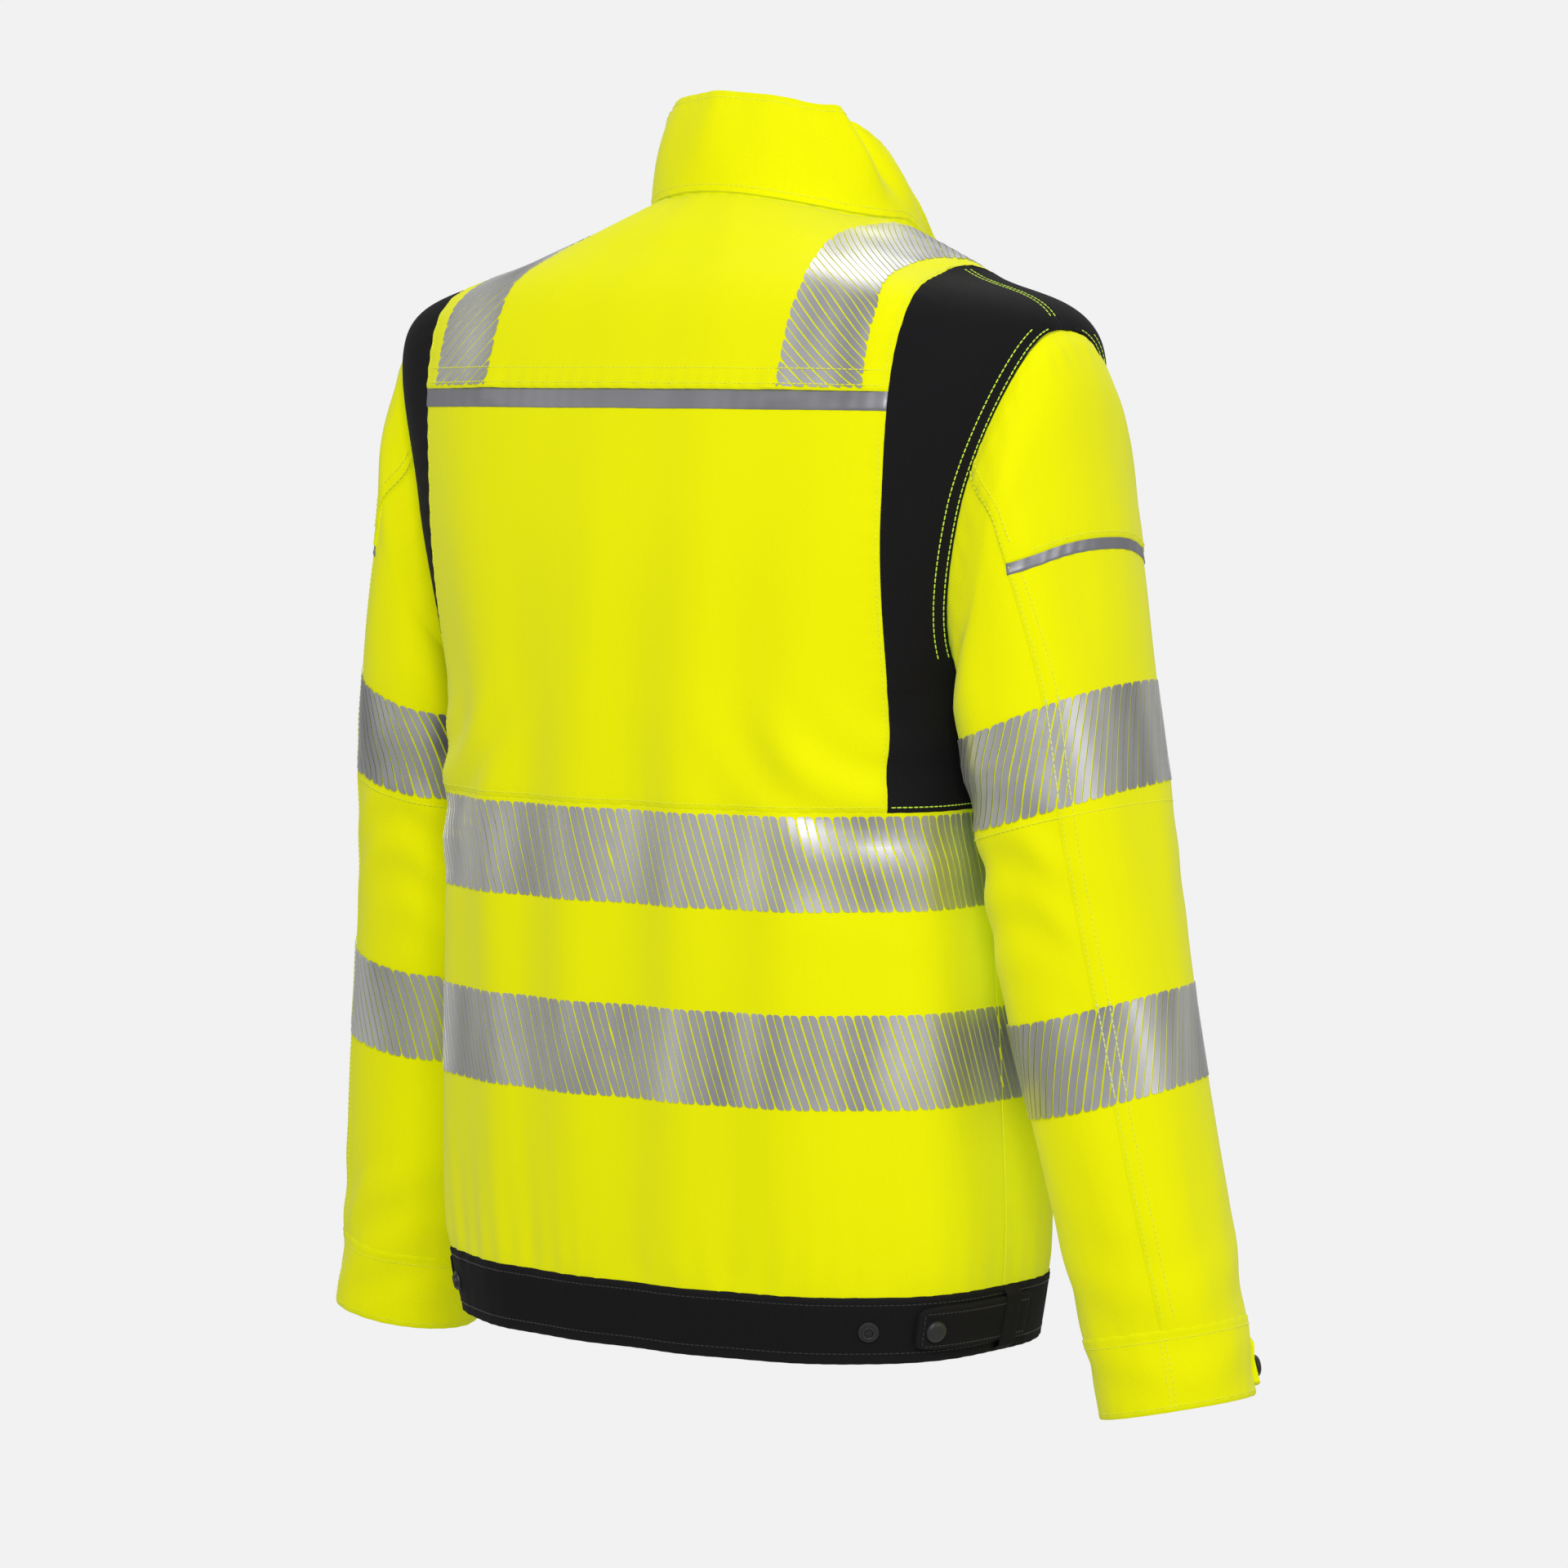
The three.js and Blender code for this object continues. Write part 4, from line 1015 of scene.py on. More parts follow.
def make_piece(
    name: str, points: Array, faces: list, finish: object, hold: object, replaces: tuple[str, ...] = ()
) -> bpy.types.Object:
    """Makes a mesh piece, dresses it and fixes it to its body.

    Args:
        name: The piece's name.
        points: Its corners.
        faces: Its faces, as lists of corners.
        finish: Its finish.
        hold: How it moves.
        replaces: The CAD nodes that it stands for.

    Returns:
        The piece.
    """
    mesh = bpy.data.meshes.new(name)
    mesh.from_pydata(points.reshape(-1, 3).tolist(), [], faces)
    mesh.shade_smooth()
    mesh.set_sharp_from_angle(angle=math.radians(42))
    piece = bpy.data.objects.new(name, mesh)
    bpy.context.scene.collection.objects.link(piece)
    settle(piece, finish, hold, replaces)
    return piece


# ---------------------------------------------------------------- cloth panels


class Edge(Enum):
    """How a panel's edge ends."""

    CUT = "turned and rounded"
    TUCK = "carried on under its neighbour"


@dataclass
class Panel:
    """A closed cloth shell over a grid of a surface, rows by columns."""

    surface: Surface
    a: Array
    t: Array
    lift: Array | float = 0.0
    thickness: float = 1.1 * MM
    first: Edge = Edge.CUT
    last: Edge = Edge.CUT
    low: Edge = Edge.CUT
    high: Edge = Edge.CUT
    wrap: bool = False
    pucker: float = 0.00022
    rim: float = 0.35 * MM
    tuck: float = 5 * MM
    tuck_depth: float = 1.5 * MM

    def __post_init__(self) -> None:
        """Makes the three fields one grid and adds the puckers along its edges."""
        shape = np.broadcast_shapes(np.shape(self.a), np.shape(self.t), np.shape(self.lift))
        grid = [np.broadcast_to(np.asarray(x, float), shape) for x in (self.a, self.t, self.lift)]
        self.grid = np.stack(grid, axis=-1)
        self.grid[..., 2] += self._puckers()
        for axis, at_start, edge in (
            (0, True, self.low),
            (0, False, self.high),
            (1, True, self.first),
            (1, False, self.last),
        ):
            if not (self.wrap and axis == 1):
                self._finish_edge(axis, at_start, edge)

    def _smooth_points(self) -> Array:
        """Points of the smooth shape under the grid."""
        return self.surface.point(self.grid[..., 0], self.grid[..., 1])

    def _puckers(self) -> Array:
        """Small waves along the sewn edges."""
        p = self._smooth_points()
        u, v = run_along(p, 1), run_along(p, 0)
        waves = 0.0
        sides = [(v, u), (v[-1] - v, u)]
        if not self.wrap:
            sides += [(u, v), (u[:, -1:] - u, v)]
        for away, along in sides:
            beat = np.sin(along * 2 * np.pi / 0.0105 + 2.0 * np.sin(along / 0.017))
            waves = waves + beat * np.exp(-away / 0.007)
        return self.pucker * waves

    def _finish_edge(self, axis: int, at_start: bool, edge: Edge) -> None:
        """Adds the rows that round an edge off or carry it under its neighbour."""
        grid = self.grid if axis == 0 else np.swapaxes(self.grid, 0, 1)
        grid = grid if at_start else grid[::-1]
        border, inner = grid[0].copy(), grid[1]
        p = self.surface.point(grid[:2, ..., 0], grid[:2, ..., 1])
        gap = np.maximum(np.linalg.norm(p[0] - p[1], axis=-1), 0.2 * MM)[..., None]
        out = (border - inner) / gap
        out[..., 2] = 0
        if edge is Edge.CUT:
            near = border - out * np.minimum(self.rim * 1.7, gap * 0.4)
            border[..., 2] -= self.rim
            grid = np.concatenate([border[None], near[None], grid[1:]])
        elif edge is Edge.TUCK:
            step, far = border + out * 0.6 * MM, border + out * self.tuck
            step[..., 2] = border[..., 2] - self.tuck_depth
            far[..., 2] = border[..., 2] - self.tuck_depth - 0.1 * MM
            grid = np.concatenate([far[None], step[None], grid])
        grid = grid if at_start else grid[::-1]
        self.grid = grid if axis == 0 else np.swapaxes(grid, 0, 1)

    def build(
        self, name: str, finish: object, hold: object, replaces: tuple[str, ...] = (), held: str = "hung"
    ) -> bpy.types.Object:
        """Args:
            name: The piece's name.
            finish: Its finish.
            hold: How it moves.
            replaces: The CAD nodes that it stands for.
            held: Not used.

        Returns:
            The piece.
        """
        a, t, lift = np.moveaxis(self.grid, -1, 0)
        outer = self.surface.cloth(a, t, lift)
        inner = self.surface.cloth(a, t, lift - self.thickness)
        faces = self._faces(outer, inner)
        piece = make_piece(name, np.stack([outer, inner]), faces, finish, hold, replaces)
        u, v = run_along(outer, 1), run_along(outer, 0)
        self._lay_weave(piece, u, v)
        return piece

    def _faces(self, outer: Array, inner: Array) -> list:
        """Faces of both layers and the rim, pointing out."""
        rows, columns = outer.shape[:2]
        index = np.arange(rows * columns).reshape(rows, columns)
        if self.wrap:
            index = np.concatenate([index, index[:, :1]], axis=1)
        under = index + rows * columns

        def quads(a: Array, b: Array, c: Array, d: Array) -> list:
            """Faces with these corners."""
            return np.stack([a, b, c, d], axis=-1).reshape(-1, 4).tolist()

        top = quads(index[:-1, :-1], index[:-1, 1:], index[1:, 1:], index[1:, :-1])
        bottom = quads(under[:-1, :-1], under[1:, :-1], under[1:, 1:], under[:-1, 1:])
        rim = quads(under[0, :-1], under[0, 1:], index[0, 1:], index[0, :-1])
        rim += quads(index[-1, :-1], index[-1, 1:], under[-1, 1:], under[-1, :-1])
        if not self.wrap:
            rim += quads(index[:-1, 0], index[1:, 0], under[1:, 0], under[:-1, 0])
            rim += quads(under[:-1, -1], under[1:, -1], index[1:, -1], index[:-1, -1])
        i, j = rows // 2, columns // 2
        across, along = outer[i, j + 1] - outer[i, j], outer[i + 1, j] - outer[i, j]
        faces = top + bottom + rim
        if np.dot(np.cross(across, along), outer[i, j] - inner[i, j]) < 0:
            faces = [face[::-1] for face in faces]
        return faces

    def _lay_weave(self, piece: bpy.types.Object, u: Array, v: Array) -> None:
        """Writes the weave's map, in metres, and how far each point is from an edge."""
        rows, columns = u.shape
        middle = columns // 2
        flat_u, flat_v = u - u[:, middle : middle + 1], np.broadcast_to(v[:, middle : middle + 1], v.shape)
        both = np.tile(np.stack([flat_u, flat_v], axis=-1).reshape(-1, 2), (2, 1))
        mesh = piece.data
        corners = np.zeros(len(mesh.loops), np.int32)
        mesh.loops.foreach_get("vertex_index", corners)
        layer = mesh.uv_layers.new(name=WEAVE_MAP)
        layer.data.foreach_set("uv", both[corners].astype(np.float32).ravel())
        near = np.minimum(v, v[-1] - v)
        if not self.wrap:
            near = np.minimum(near, np.minimum(u, u[:, -1:] - u))
        edge = np.tile(np.clip(near / 0.011, 0, 1).ravel(), 2)
        mesh.attributes.new(EDGE_FIELD, "FLOAT", "POINT").data.foreach_set("value", edge.astype(np.float32))


# ---------------------------------------------------------------- stitches


@dataclass
class Stitching:
    """Rows of stitches in one thread that move together."""

    name: str
    finish: ThreadFinish
    hold: object
    pitch: float = 3.0 * MM
    length: float = 2.45 * MM
    radius: float = 0.33 * MM
    flatness: float = 0.75
    sides: int = 6
    rows: list[tuple[Array, Array]] = field(default_factory=list)

    def row(self, surface: Surface, a: Array, t: Array, lift: Array | float) -> None:
        """Adds a row along a line of a surface."""
        a, t = np.broadcast_arrays(np.asarray(a, float), np.asarray(t, float))
        self.rows.append((surface.cloth(a, t, lift), surface.normal(a, t)))

    def _template(self) -> tuple[Array, list]:
        """One stitch along x: its corners and faces."""
        turn = np.arange(self.sides) * 2 * np.pi / self.sides
        rings = [(-0.5, 0.3), (-0.34, 1.0), (0.34, 1.0), (0.5, 0.3)]
        points = [
            (x * self.length, r * self.radius * math.cos(w), r * self.radius * self.flatness * math.sin(w))
            for x, r in rings
            for w in turn
        ]
        n = self.sides
        faces = [
            [k * n + j, k * n + (j + 1) % n, (k + 1) * n + (j + 1) % n, (k + 1) * n + j]
            for k in range(len(rings) - 1)
            for j in range(n)
        ]
        faces = [face[::-1] for face in faces]
        last = (len(rings) - 1) * n
        return np.array(points), faces + [list(range(n)), [last + j for j in reversed(range(n))]]

    def build(self) -> bpy.types.Object:
        """Makes every stitch of every row, as one piece."""
        template, faces = self._template()
        blocks = []
        for points, normals in self.rows:
            run = run_along(points, 0)
            count = max(int(run[-1] / self.pitch), 1)
            middles = (np.arange(count) + 0.5) * run[-1] / count

            def at(where: Array, table: Array = points, run: Array = run) -> Array:
                """Table's value at distances along the row."""
                return np.stack([np.interp(where, run, table[:, k]) for k in range(3)], axis=-1)

            half = self.length * 0.4
            along = at(middles + half) - at(middles - half)
            along /= np.maximum(np.linalg.norm(along, axis=-1, keepdims=True), 1e-9)
            up = at(middles, normals)
            up -= along * (up * along).sum(-1, keepdims=True)
            up /= np.maximum(np.linalg.norm(up, axis=-1, keepdims=True), 1e-9)
            side = np.cross(up, along)
            axes = np.stack([along, side, up], axis=1)
            blocks.append(at(middles)[:, None] + np.einsum("kc,scd->skd", template, axes))
        points = np.concatenate(blocks)
        size = points.shape[1]
        every = [[c + k * size for c in face] for k in range(len(points)) for face in faces]
        return make_piece(self.name, points, every, self.finish, self.hold)


# ---------------------------------------------------------------- reflective tape


@dataclass(frozen=True)
class SegmentedTape:
    """Heat-bonded reflective film, cut in slanting bars that stand in pairs."""

    width: float = 50 * MM
    pitch: float = 4.7 * MM
    gap_in_pair: float = 0.72 * MM
    gap_between: float = 1.0 * MM
    lean: float = 0.30
    bow: float = 0.5 * MM
    outer_corner: float = 2.1 * MM
    inner_corner: float = 0.6 * MM
    rise: float = 0.26 * MM
    shares: tuple[float, ...] = (0, 0.005, 0.016, 0.04, 0.16, 0.33, 0.5, 0.67, 0.84, 0.96, 0.984, 0.995, 1)

    def _inset(self, corner: float, away: Array) -> Array:
        """How far a rounded corner cuts in, at a distance from the tape's edge."""
        inside = np.clip(corner - away, 0, corner)
        return corner - np.sqrt(np.maximum(corner**2 - inside**2, 0))

    def _edges(self, middle: float, second: bool, h: Array) -> tuple[Array, Array]:
        """Left and right edges of one bar at heights above the tape's lower edge."""
        slant = middle + self.lean * (h - self.width / 2) + self.bow * np.sin(np.pi * h / self.width)
        in_half, out_half = self.gap_in_pair / 2, self.gap_between / 2
        left_gap, right_gap = (in_half, out_half) if second else (out_half, in_half)
        left_corner, right_corner = self.outer_corner, self.inner_corner
        if second:
            left_corner, right_corner = right_corner, left_corner
        away = np.minimum(h, self.width - h)
        left = slant - self.pitch / 2 + left_gap + self._inset(left_corner, away)
        return left, slant + self.pitch / 2 - right_gap - self._inset(right_corner, away)

    def bars(self, start: float, end: float, ring: bool) -> tuple[Array, Array]:
        """Corners of every bar along a stretch of tape.

        Args:
            start: Where the stretch starts.
            end: Where it ends.
            ring: True where the ends meet, so that whole pairs fill it.

        Returns:
            Places along the tape, as bars by rows by two edges, and heights, as bars by rows.
        """
        spare = abs(self.lean) * self.width / 2 + self.pitch
        if ring:
            pairs = round((end - start) / (2 * self.pitch))
            stretch = (end - start) / (pairs * 2 * self.pitch)
            count, first = pairs * 2, start + self.pitch / 2
        else:
            stretch, first = 1.0, start - spare
            count = int((end - start + 2 * spare) / self.pitch) + 1
        fine = np.linspace(0, self.width, 101)
        along, heights = [], []
        for k in range(count):
            middle = start + (first - start + k * self.pitch) * stretch
            low, high = 0.0, self.width
            if not ring:
                left, right = self._edges(middle, k % 2 == 1, fine)
                shown = np.minimum(right, end) - np.maximum(left, start) > 0.5 * MM
                if shown.sum() < 4:
                    continue
                low, high = fine[shown][0], fine[shown][-1]
            h = low + (high - low) * np.array(self.shares)
            left, right = self._edges(middle, k % 2 == 1, h)
            if not ring:
                left, right = np.clip(left, start, end), np.clip(right, start, end)
            along.append(np.stack([left, right], axis=-1))
            heights.append(h)
        return np.array(along), np.array(heights)

    def build(
        self, name: str, points: Array, normals: Array, hold: object, node: str
    ) -> bpy.types.Object:
        """Makes the bars.

        Args:
            name: The piece's name.
            points: Where each bar's corners lie on the cloth, as bars by rows by two edges.
            normals: Normals there.
            hold: How the tape moves.
            node: The CAD node that it stands for.

        Returns:
            The piece.
        """
        top, bottom = points + normals * self.rise, points - normals * 0.25 * MM
        count, rows = points.shape[:2]
        size = rows * 4
        block = np.stack([top, bottom], axis=1).reshape(count, size, 3)
        index = np.arange(size).reshape(2, rows, 2)
        faces = []
        for r in range(rows - 1):
            a, b, c, d = index[0, r, 0], index[0, r, 1], index[0, r + 1, 1], index[0, r + 1, 0]
            e, f, g, h = index[1, r, 0], index[1, r, 1], index[1, r + 1, 1], index[1, r + 1, 0]
            faces += [[a, b, c, d], [e, h, g, f], [a, d, h, e], [b, f, g, c]]
        first, last = index[:, 0], index[:, -1]
        faces.append([first[0, 0], first[1, 0], first[1, 1], first[0, 1]])
        faces.append([last[0, 0], last[0, 1], last[1, 1], last[1, 0]])
        across, along = points[0, 6, 1] - points[0, 6, 0], points[0, 7, 0] - points[0, 6, 0]
        if np.dot(np.cross(across, along), normals[0, 6, 0]) < 0:
            faces = [face[::-1] for face in faces]
        every = [[int(c) + k * size for c in face] for k in range(count) for face in faces]
        return make_piece(name, block, every, SILVER, hold, (node,))


# ---------------------------------------------------------------- hard parts


@dataclass(frozen=True)
class Turned:
    """A moulded round part, drawn up in steps from a disc: each a share of the radius and a height."""

    radius: float
    profile: tuple[tuple[float, float], ...]
    sides: int = 40

    def build(self, name: str, finish: object, hold: object, spot: Vector, axis: Vector, node: str) -> None:
        """Makes the part with its base at a spot and its axis along a direction.

        Args:
            name: The piece's name.
            finish: Its finish.
            hold: How it moves.
            spot: Middle of its base.
            axis: The way it faces.
            node: The CAD node that it stands for.
        """
        bpy.ops.object.select_all(action="DESELECT")
        bpy.ops.mesh.primitive_circle_add(vertices=self.sides, radius=self.radius, fill_type="NGON")
        piece = bpy.context.object
        bpy.ops.object.mode_set(mode="EDIT")
        bpy.ops.mesh.select_all(action="SELECT")
        share, height = 1.0, 0.0
        for next_share, next_height in self.profile:
            move = {"value": (0, 0, next_height - height)}
            bpy.ops.mesh.extrude_region_move(TRANSFORM_OT_translate=move)
            bpy.ops.transform.resize(value=(next_share / share, next_share / share, 1))
            share, height = next_share, next_height
        bpy.ops.mesh.select_all(action="SELECT")
        bpy.ops.mesh.normals_make_consistent(inside=False)
        bpy.ops.object.mode_set(mode="OBJECT")
        bpy.ops.object.shade_smooth_by_angle(angle=math.radians(35))
        piece.name = piece.data.name = name
        turn = axis.to_track_quat("Z", "Y").to_matrix().to_4x4()
        piece.data.transform(Matrix.Translation(spot) @ turn)
        settle(piece, finish, hold, (node,))


SNAP_CAP = Turned(
    5.9 * MM,
    (
        (1.0, 0.7 * MM),
        (0.985, 1.1 * MM),
        (0.94, 1.6 * MM),
        (0.86, 2.05 * MM),
        (0.74, 2.42 * MM),
        (0.58, 2.7 * MM),
        (0.42, 2.86 * MM),
        (0.36, 2.82 * MM),
        (0.31, 2.7 * MM),
        (0.2, 2.66 * MM),
    ),
)
SNAP_STUD = Turned(
    5.5 * MM,
    (
        (1.0, 0.9 * MM),
        (0.97, 1.25 * MM),
        (0.90, 1.4 * MM),
        (0.72, 1.4 * MM),
        (0.69, 1.6 * MM),
        (0.68, 2.7 * MM),
        (0.64, 3.0 * MM),
        (0.50, 3.0 * MM),
        (0.44, 2.7 * MM),
        (0.42, 1.0 * MM),
        (0.2, 0.95 * MM),
    ),
)


@dataclass(frozen=True)
class Block:
    """A bevelled block: middle, size and how round its edges are."""

    middle: tuple[float, float, float]
    size: tuple[float, float, float]
    bevel: float
    segments: int = 3

    def make(self) -> bpy.types.Object:
        """Makes the block in its place."""
        bpy.ops.object.select_all(action="DESELECT")
        bpy.ops.mesh.primitive_cube_add(size=1)
        block = bpy.context.object
        block.data.transform(Matrix.Translation(self.middle) @ Matrix.Diagonal((*self.size, 1)))
        bevel = block.modifiers.new("edges", "BEVEL")
        bevel.width, bevel.segments = self.bevel, self.segments
        bpy.ops.object.modifier_apply(modifier=bevel.name)
        bpy.ops.object.shade_smooth_by_angle(angle=math.radians(50))
        return block


def join_blocks(
    name: str, blocks: list[bpy.types.Object], finish: object, hold: object, nodes: tuple[str, ...]
) -> None:
    """Joins blocks into one dressed piece.

    Args:
        name: The piece's name.
        blocks: The blocks, each in its place.
        finish: Its finish.
        hold: How it moves.
        nodes: The CAD nodes that it stands for.
    """
    bpy.ops.object.select_all(action="DESELECT")
    for block in blocks:
        block.select_set(True)
    bpy.context.view_layer.objects.active = blocks[0]
    bpy.ops.object.join()
    piece = bpy.context.object
    piece.name = piece.data.name = name
    settle(piece, finish, hold, nodes)


# ---------------------------------------------------------------- the body's cloth


@dataclass
class BodyCloth:
    """Yellow back, yoke and fronts, the piping, the black side panels and the waistband."""

    torso: Torso
    seam: float = (node_foot("back_upper_panel") + node_head("back_lower_panel")) / 2
    band_top: float = node_head("waistband")
    overlap: float = 18 * MM
    piping_shown: float = 10 * MM
    piping_lift: float = 0.6 * MM
    piping_pull: float = 1.3 * MM
    zip_half_gap: float = 9 * MM
    spacing: float = 3.0 * MM
    cover: float = 0.96
    band_lift: float = 0.9 * MM

    def zip_edge(self, t: Array) -> Array:
        """Angle of the front edge at the zip."""
        return 180 - self.torso.angle_at(self.zip_half_gap, t)

    def arm_edge(self, t: Array) -> Array:
        """Angle of the black panel's edge over the sleeve's start."""
        return 90 - self.torso.arm.half(t) * self.cover

    def build(self) -> None:
        """Makes every piece of cloth of the body."""
        self._back()
        self._yoke()
        self._band()
        for side, sign in SIDES.items():
            self._black(side, sign)
            self._front(side, sign)

    def _panel(self, t: Array, start: Array, end: Array, **options: object) -> Panel:
        """A panel between two edges."""
        a = self.torso.columns(t, start, end, self.spacing)
        return Panel(self.torso, a, t[:, None], **options)

    def _back(self) -> None:
        """Lower and upper back."""
        torso, level = self.torso, self.torso.level
        t = torso.rows(0, level(self.band_top - 0.5 * MM), level(self.seam), self.spacing)
        panel = self._panel(t, -90, 90, low=Edge.TUCK, high=Edge.TUCK, pucker=CALM_PUCKER)
        panel.build("back_lower_cloth", YELLOW, Ride(), ("back_lower_panel",))
        t = torso.rows(0, level(self.seam), level(torso.yoke_edge + self.overlap), self.spacing)
        edge = torso.side_seam(t)
        self._panel(t, -edge, edge).build("back_upper_cloth", YELLOW, Ride(), ("back_upper_panel",))

    def _yoke(self) -> None:
        """Yoke and the piping under its edge."""
        torso = self.torso
        t = torso.rows(0, torso.level(torso.yoke_edge), torso.neck - 0.02, 2.4 * MM)
        edge = np.minimum(torso.side_seam(t), 89.5)
        a = torso.columns(t, -edge, edge, 2.4 * MM)
        lift = torso.yoke_lift(a, t[:, None])
        panel = Panel(torso, a, t[:, None], lift, rim=0.5 * MM, pucker=0.00030)
        panel.build("yoke_cloth", YELLOW, Ride(), ("back_yoke",))
        low = torso.yoke_edge - self.piping_shown
        t = torso.rows(0, torso.level(low), torso.level(torso.yoke_edge + 2 * MM), 1.6 * MM)
        edge = torso.side_seam(t)
        a = torso.columns(t, -edge, edge, 2.0 * MM)
        x = np.abs(torso.point(a, t[:, None])[..., 0])
        pull = swell(x, 100 * MM, 13 * MM) - 0.3 * swell(x, 126 * MM, 14 * MM)
        free = smooth(0.0, 0.5, np.linspace(0, 1, len(t)))[:, None]
        lift = self.piping_lift + self.piping_pull * pull * free
        panel = Panel(torso, a, t[:, None], lift, thickness=0.6 * MM, rim=0.2 * MM, pucker=0.0001)
        panel.build("piping_strip", PIPING, Ride(), ("back_piping",))

    def _band(self) -> None:
        """Waistband, from one side of the zip round the back to the other."""
        torso = self.torso
        t = torso.rows(0, 0, float(torso.level(self.band_top)), 2.4 * MM)
        edge = self.zip_edge(t)
        panel = self._panel(t, -edge, edge, lift=self.band_lift, thickness=2.4 * MM, rim=0.8 * MM)
        panel.build("waistband_cloth", BLACK, Ride(), ("waistband",))

    def _black(self, side: str, sign: int) -> None:
        """Back and front halves of a black side panel."""
        torso = self.torso
        t = torso.arm.levels(float(torso.level(self.seam)), torso.seam_top)
        inner, outer = torso.black_edge(t), self.arm_edge(t)
        inner = np.minimum(inner, outer - 1.5)
        back = self._panel(t, sign * inner, sign * outer, first=Edge.TUCK)
        back.build(f"side_back_cloth_{side}", BLACK, Ride(), (f"side_back_panel_{side}",))
        front = self._panel(t, sign * (180 - inner), sign * (180 - outer), first=Edge.TUCK, last=Edge.TUCK)
        front.build(f"side_front_cloth_{side}", BLACK, Ride(), (f"side_front_panel_{side}",))

    def _front(self, side: str, sign: int) -> None:
        """Upper and lower front on one side."""
        torso, level = self.torso, self.torso.level
        t = torso.arm.levels(float(level(self.seam)), torso.neck - 0.02)
        inner = np.where(t < torso.seam_top, np.minimum(torso.black_edge(t), self.arm_edge(t) - 1.5), 90)
        upper = self._panel(t, sign * (180 - inner), sign * self.zip_edge(t))
        upper.build(f"front_upper_cloth_{side}", YELLOW, Ride(), (f"front_upper_panel_{side}",))
        t = torso.rows(180, level(self.band_top - 0.5 * MM), level(self.seam), self.spacing)
        options = {"first": Edge.TUCK, "low": Edge.TUCK, "high": Edge.TUCK, "pucker": CALM_PUCKER}
        lower = self._panel(t, np.full(t.shape, sign * 90.0), sign * self.zip_edge(t), **options)
        lower.build(f"front_lower_cloth_{side}", YELLOW, Ride(), (f"front_lower_panel_{side}",))


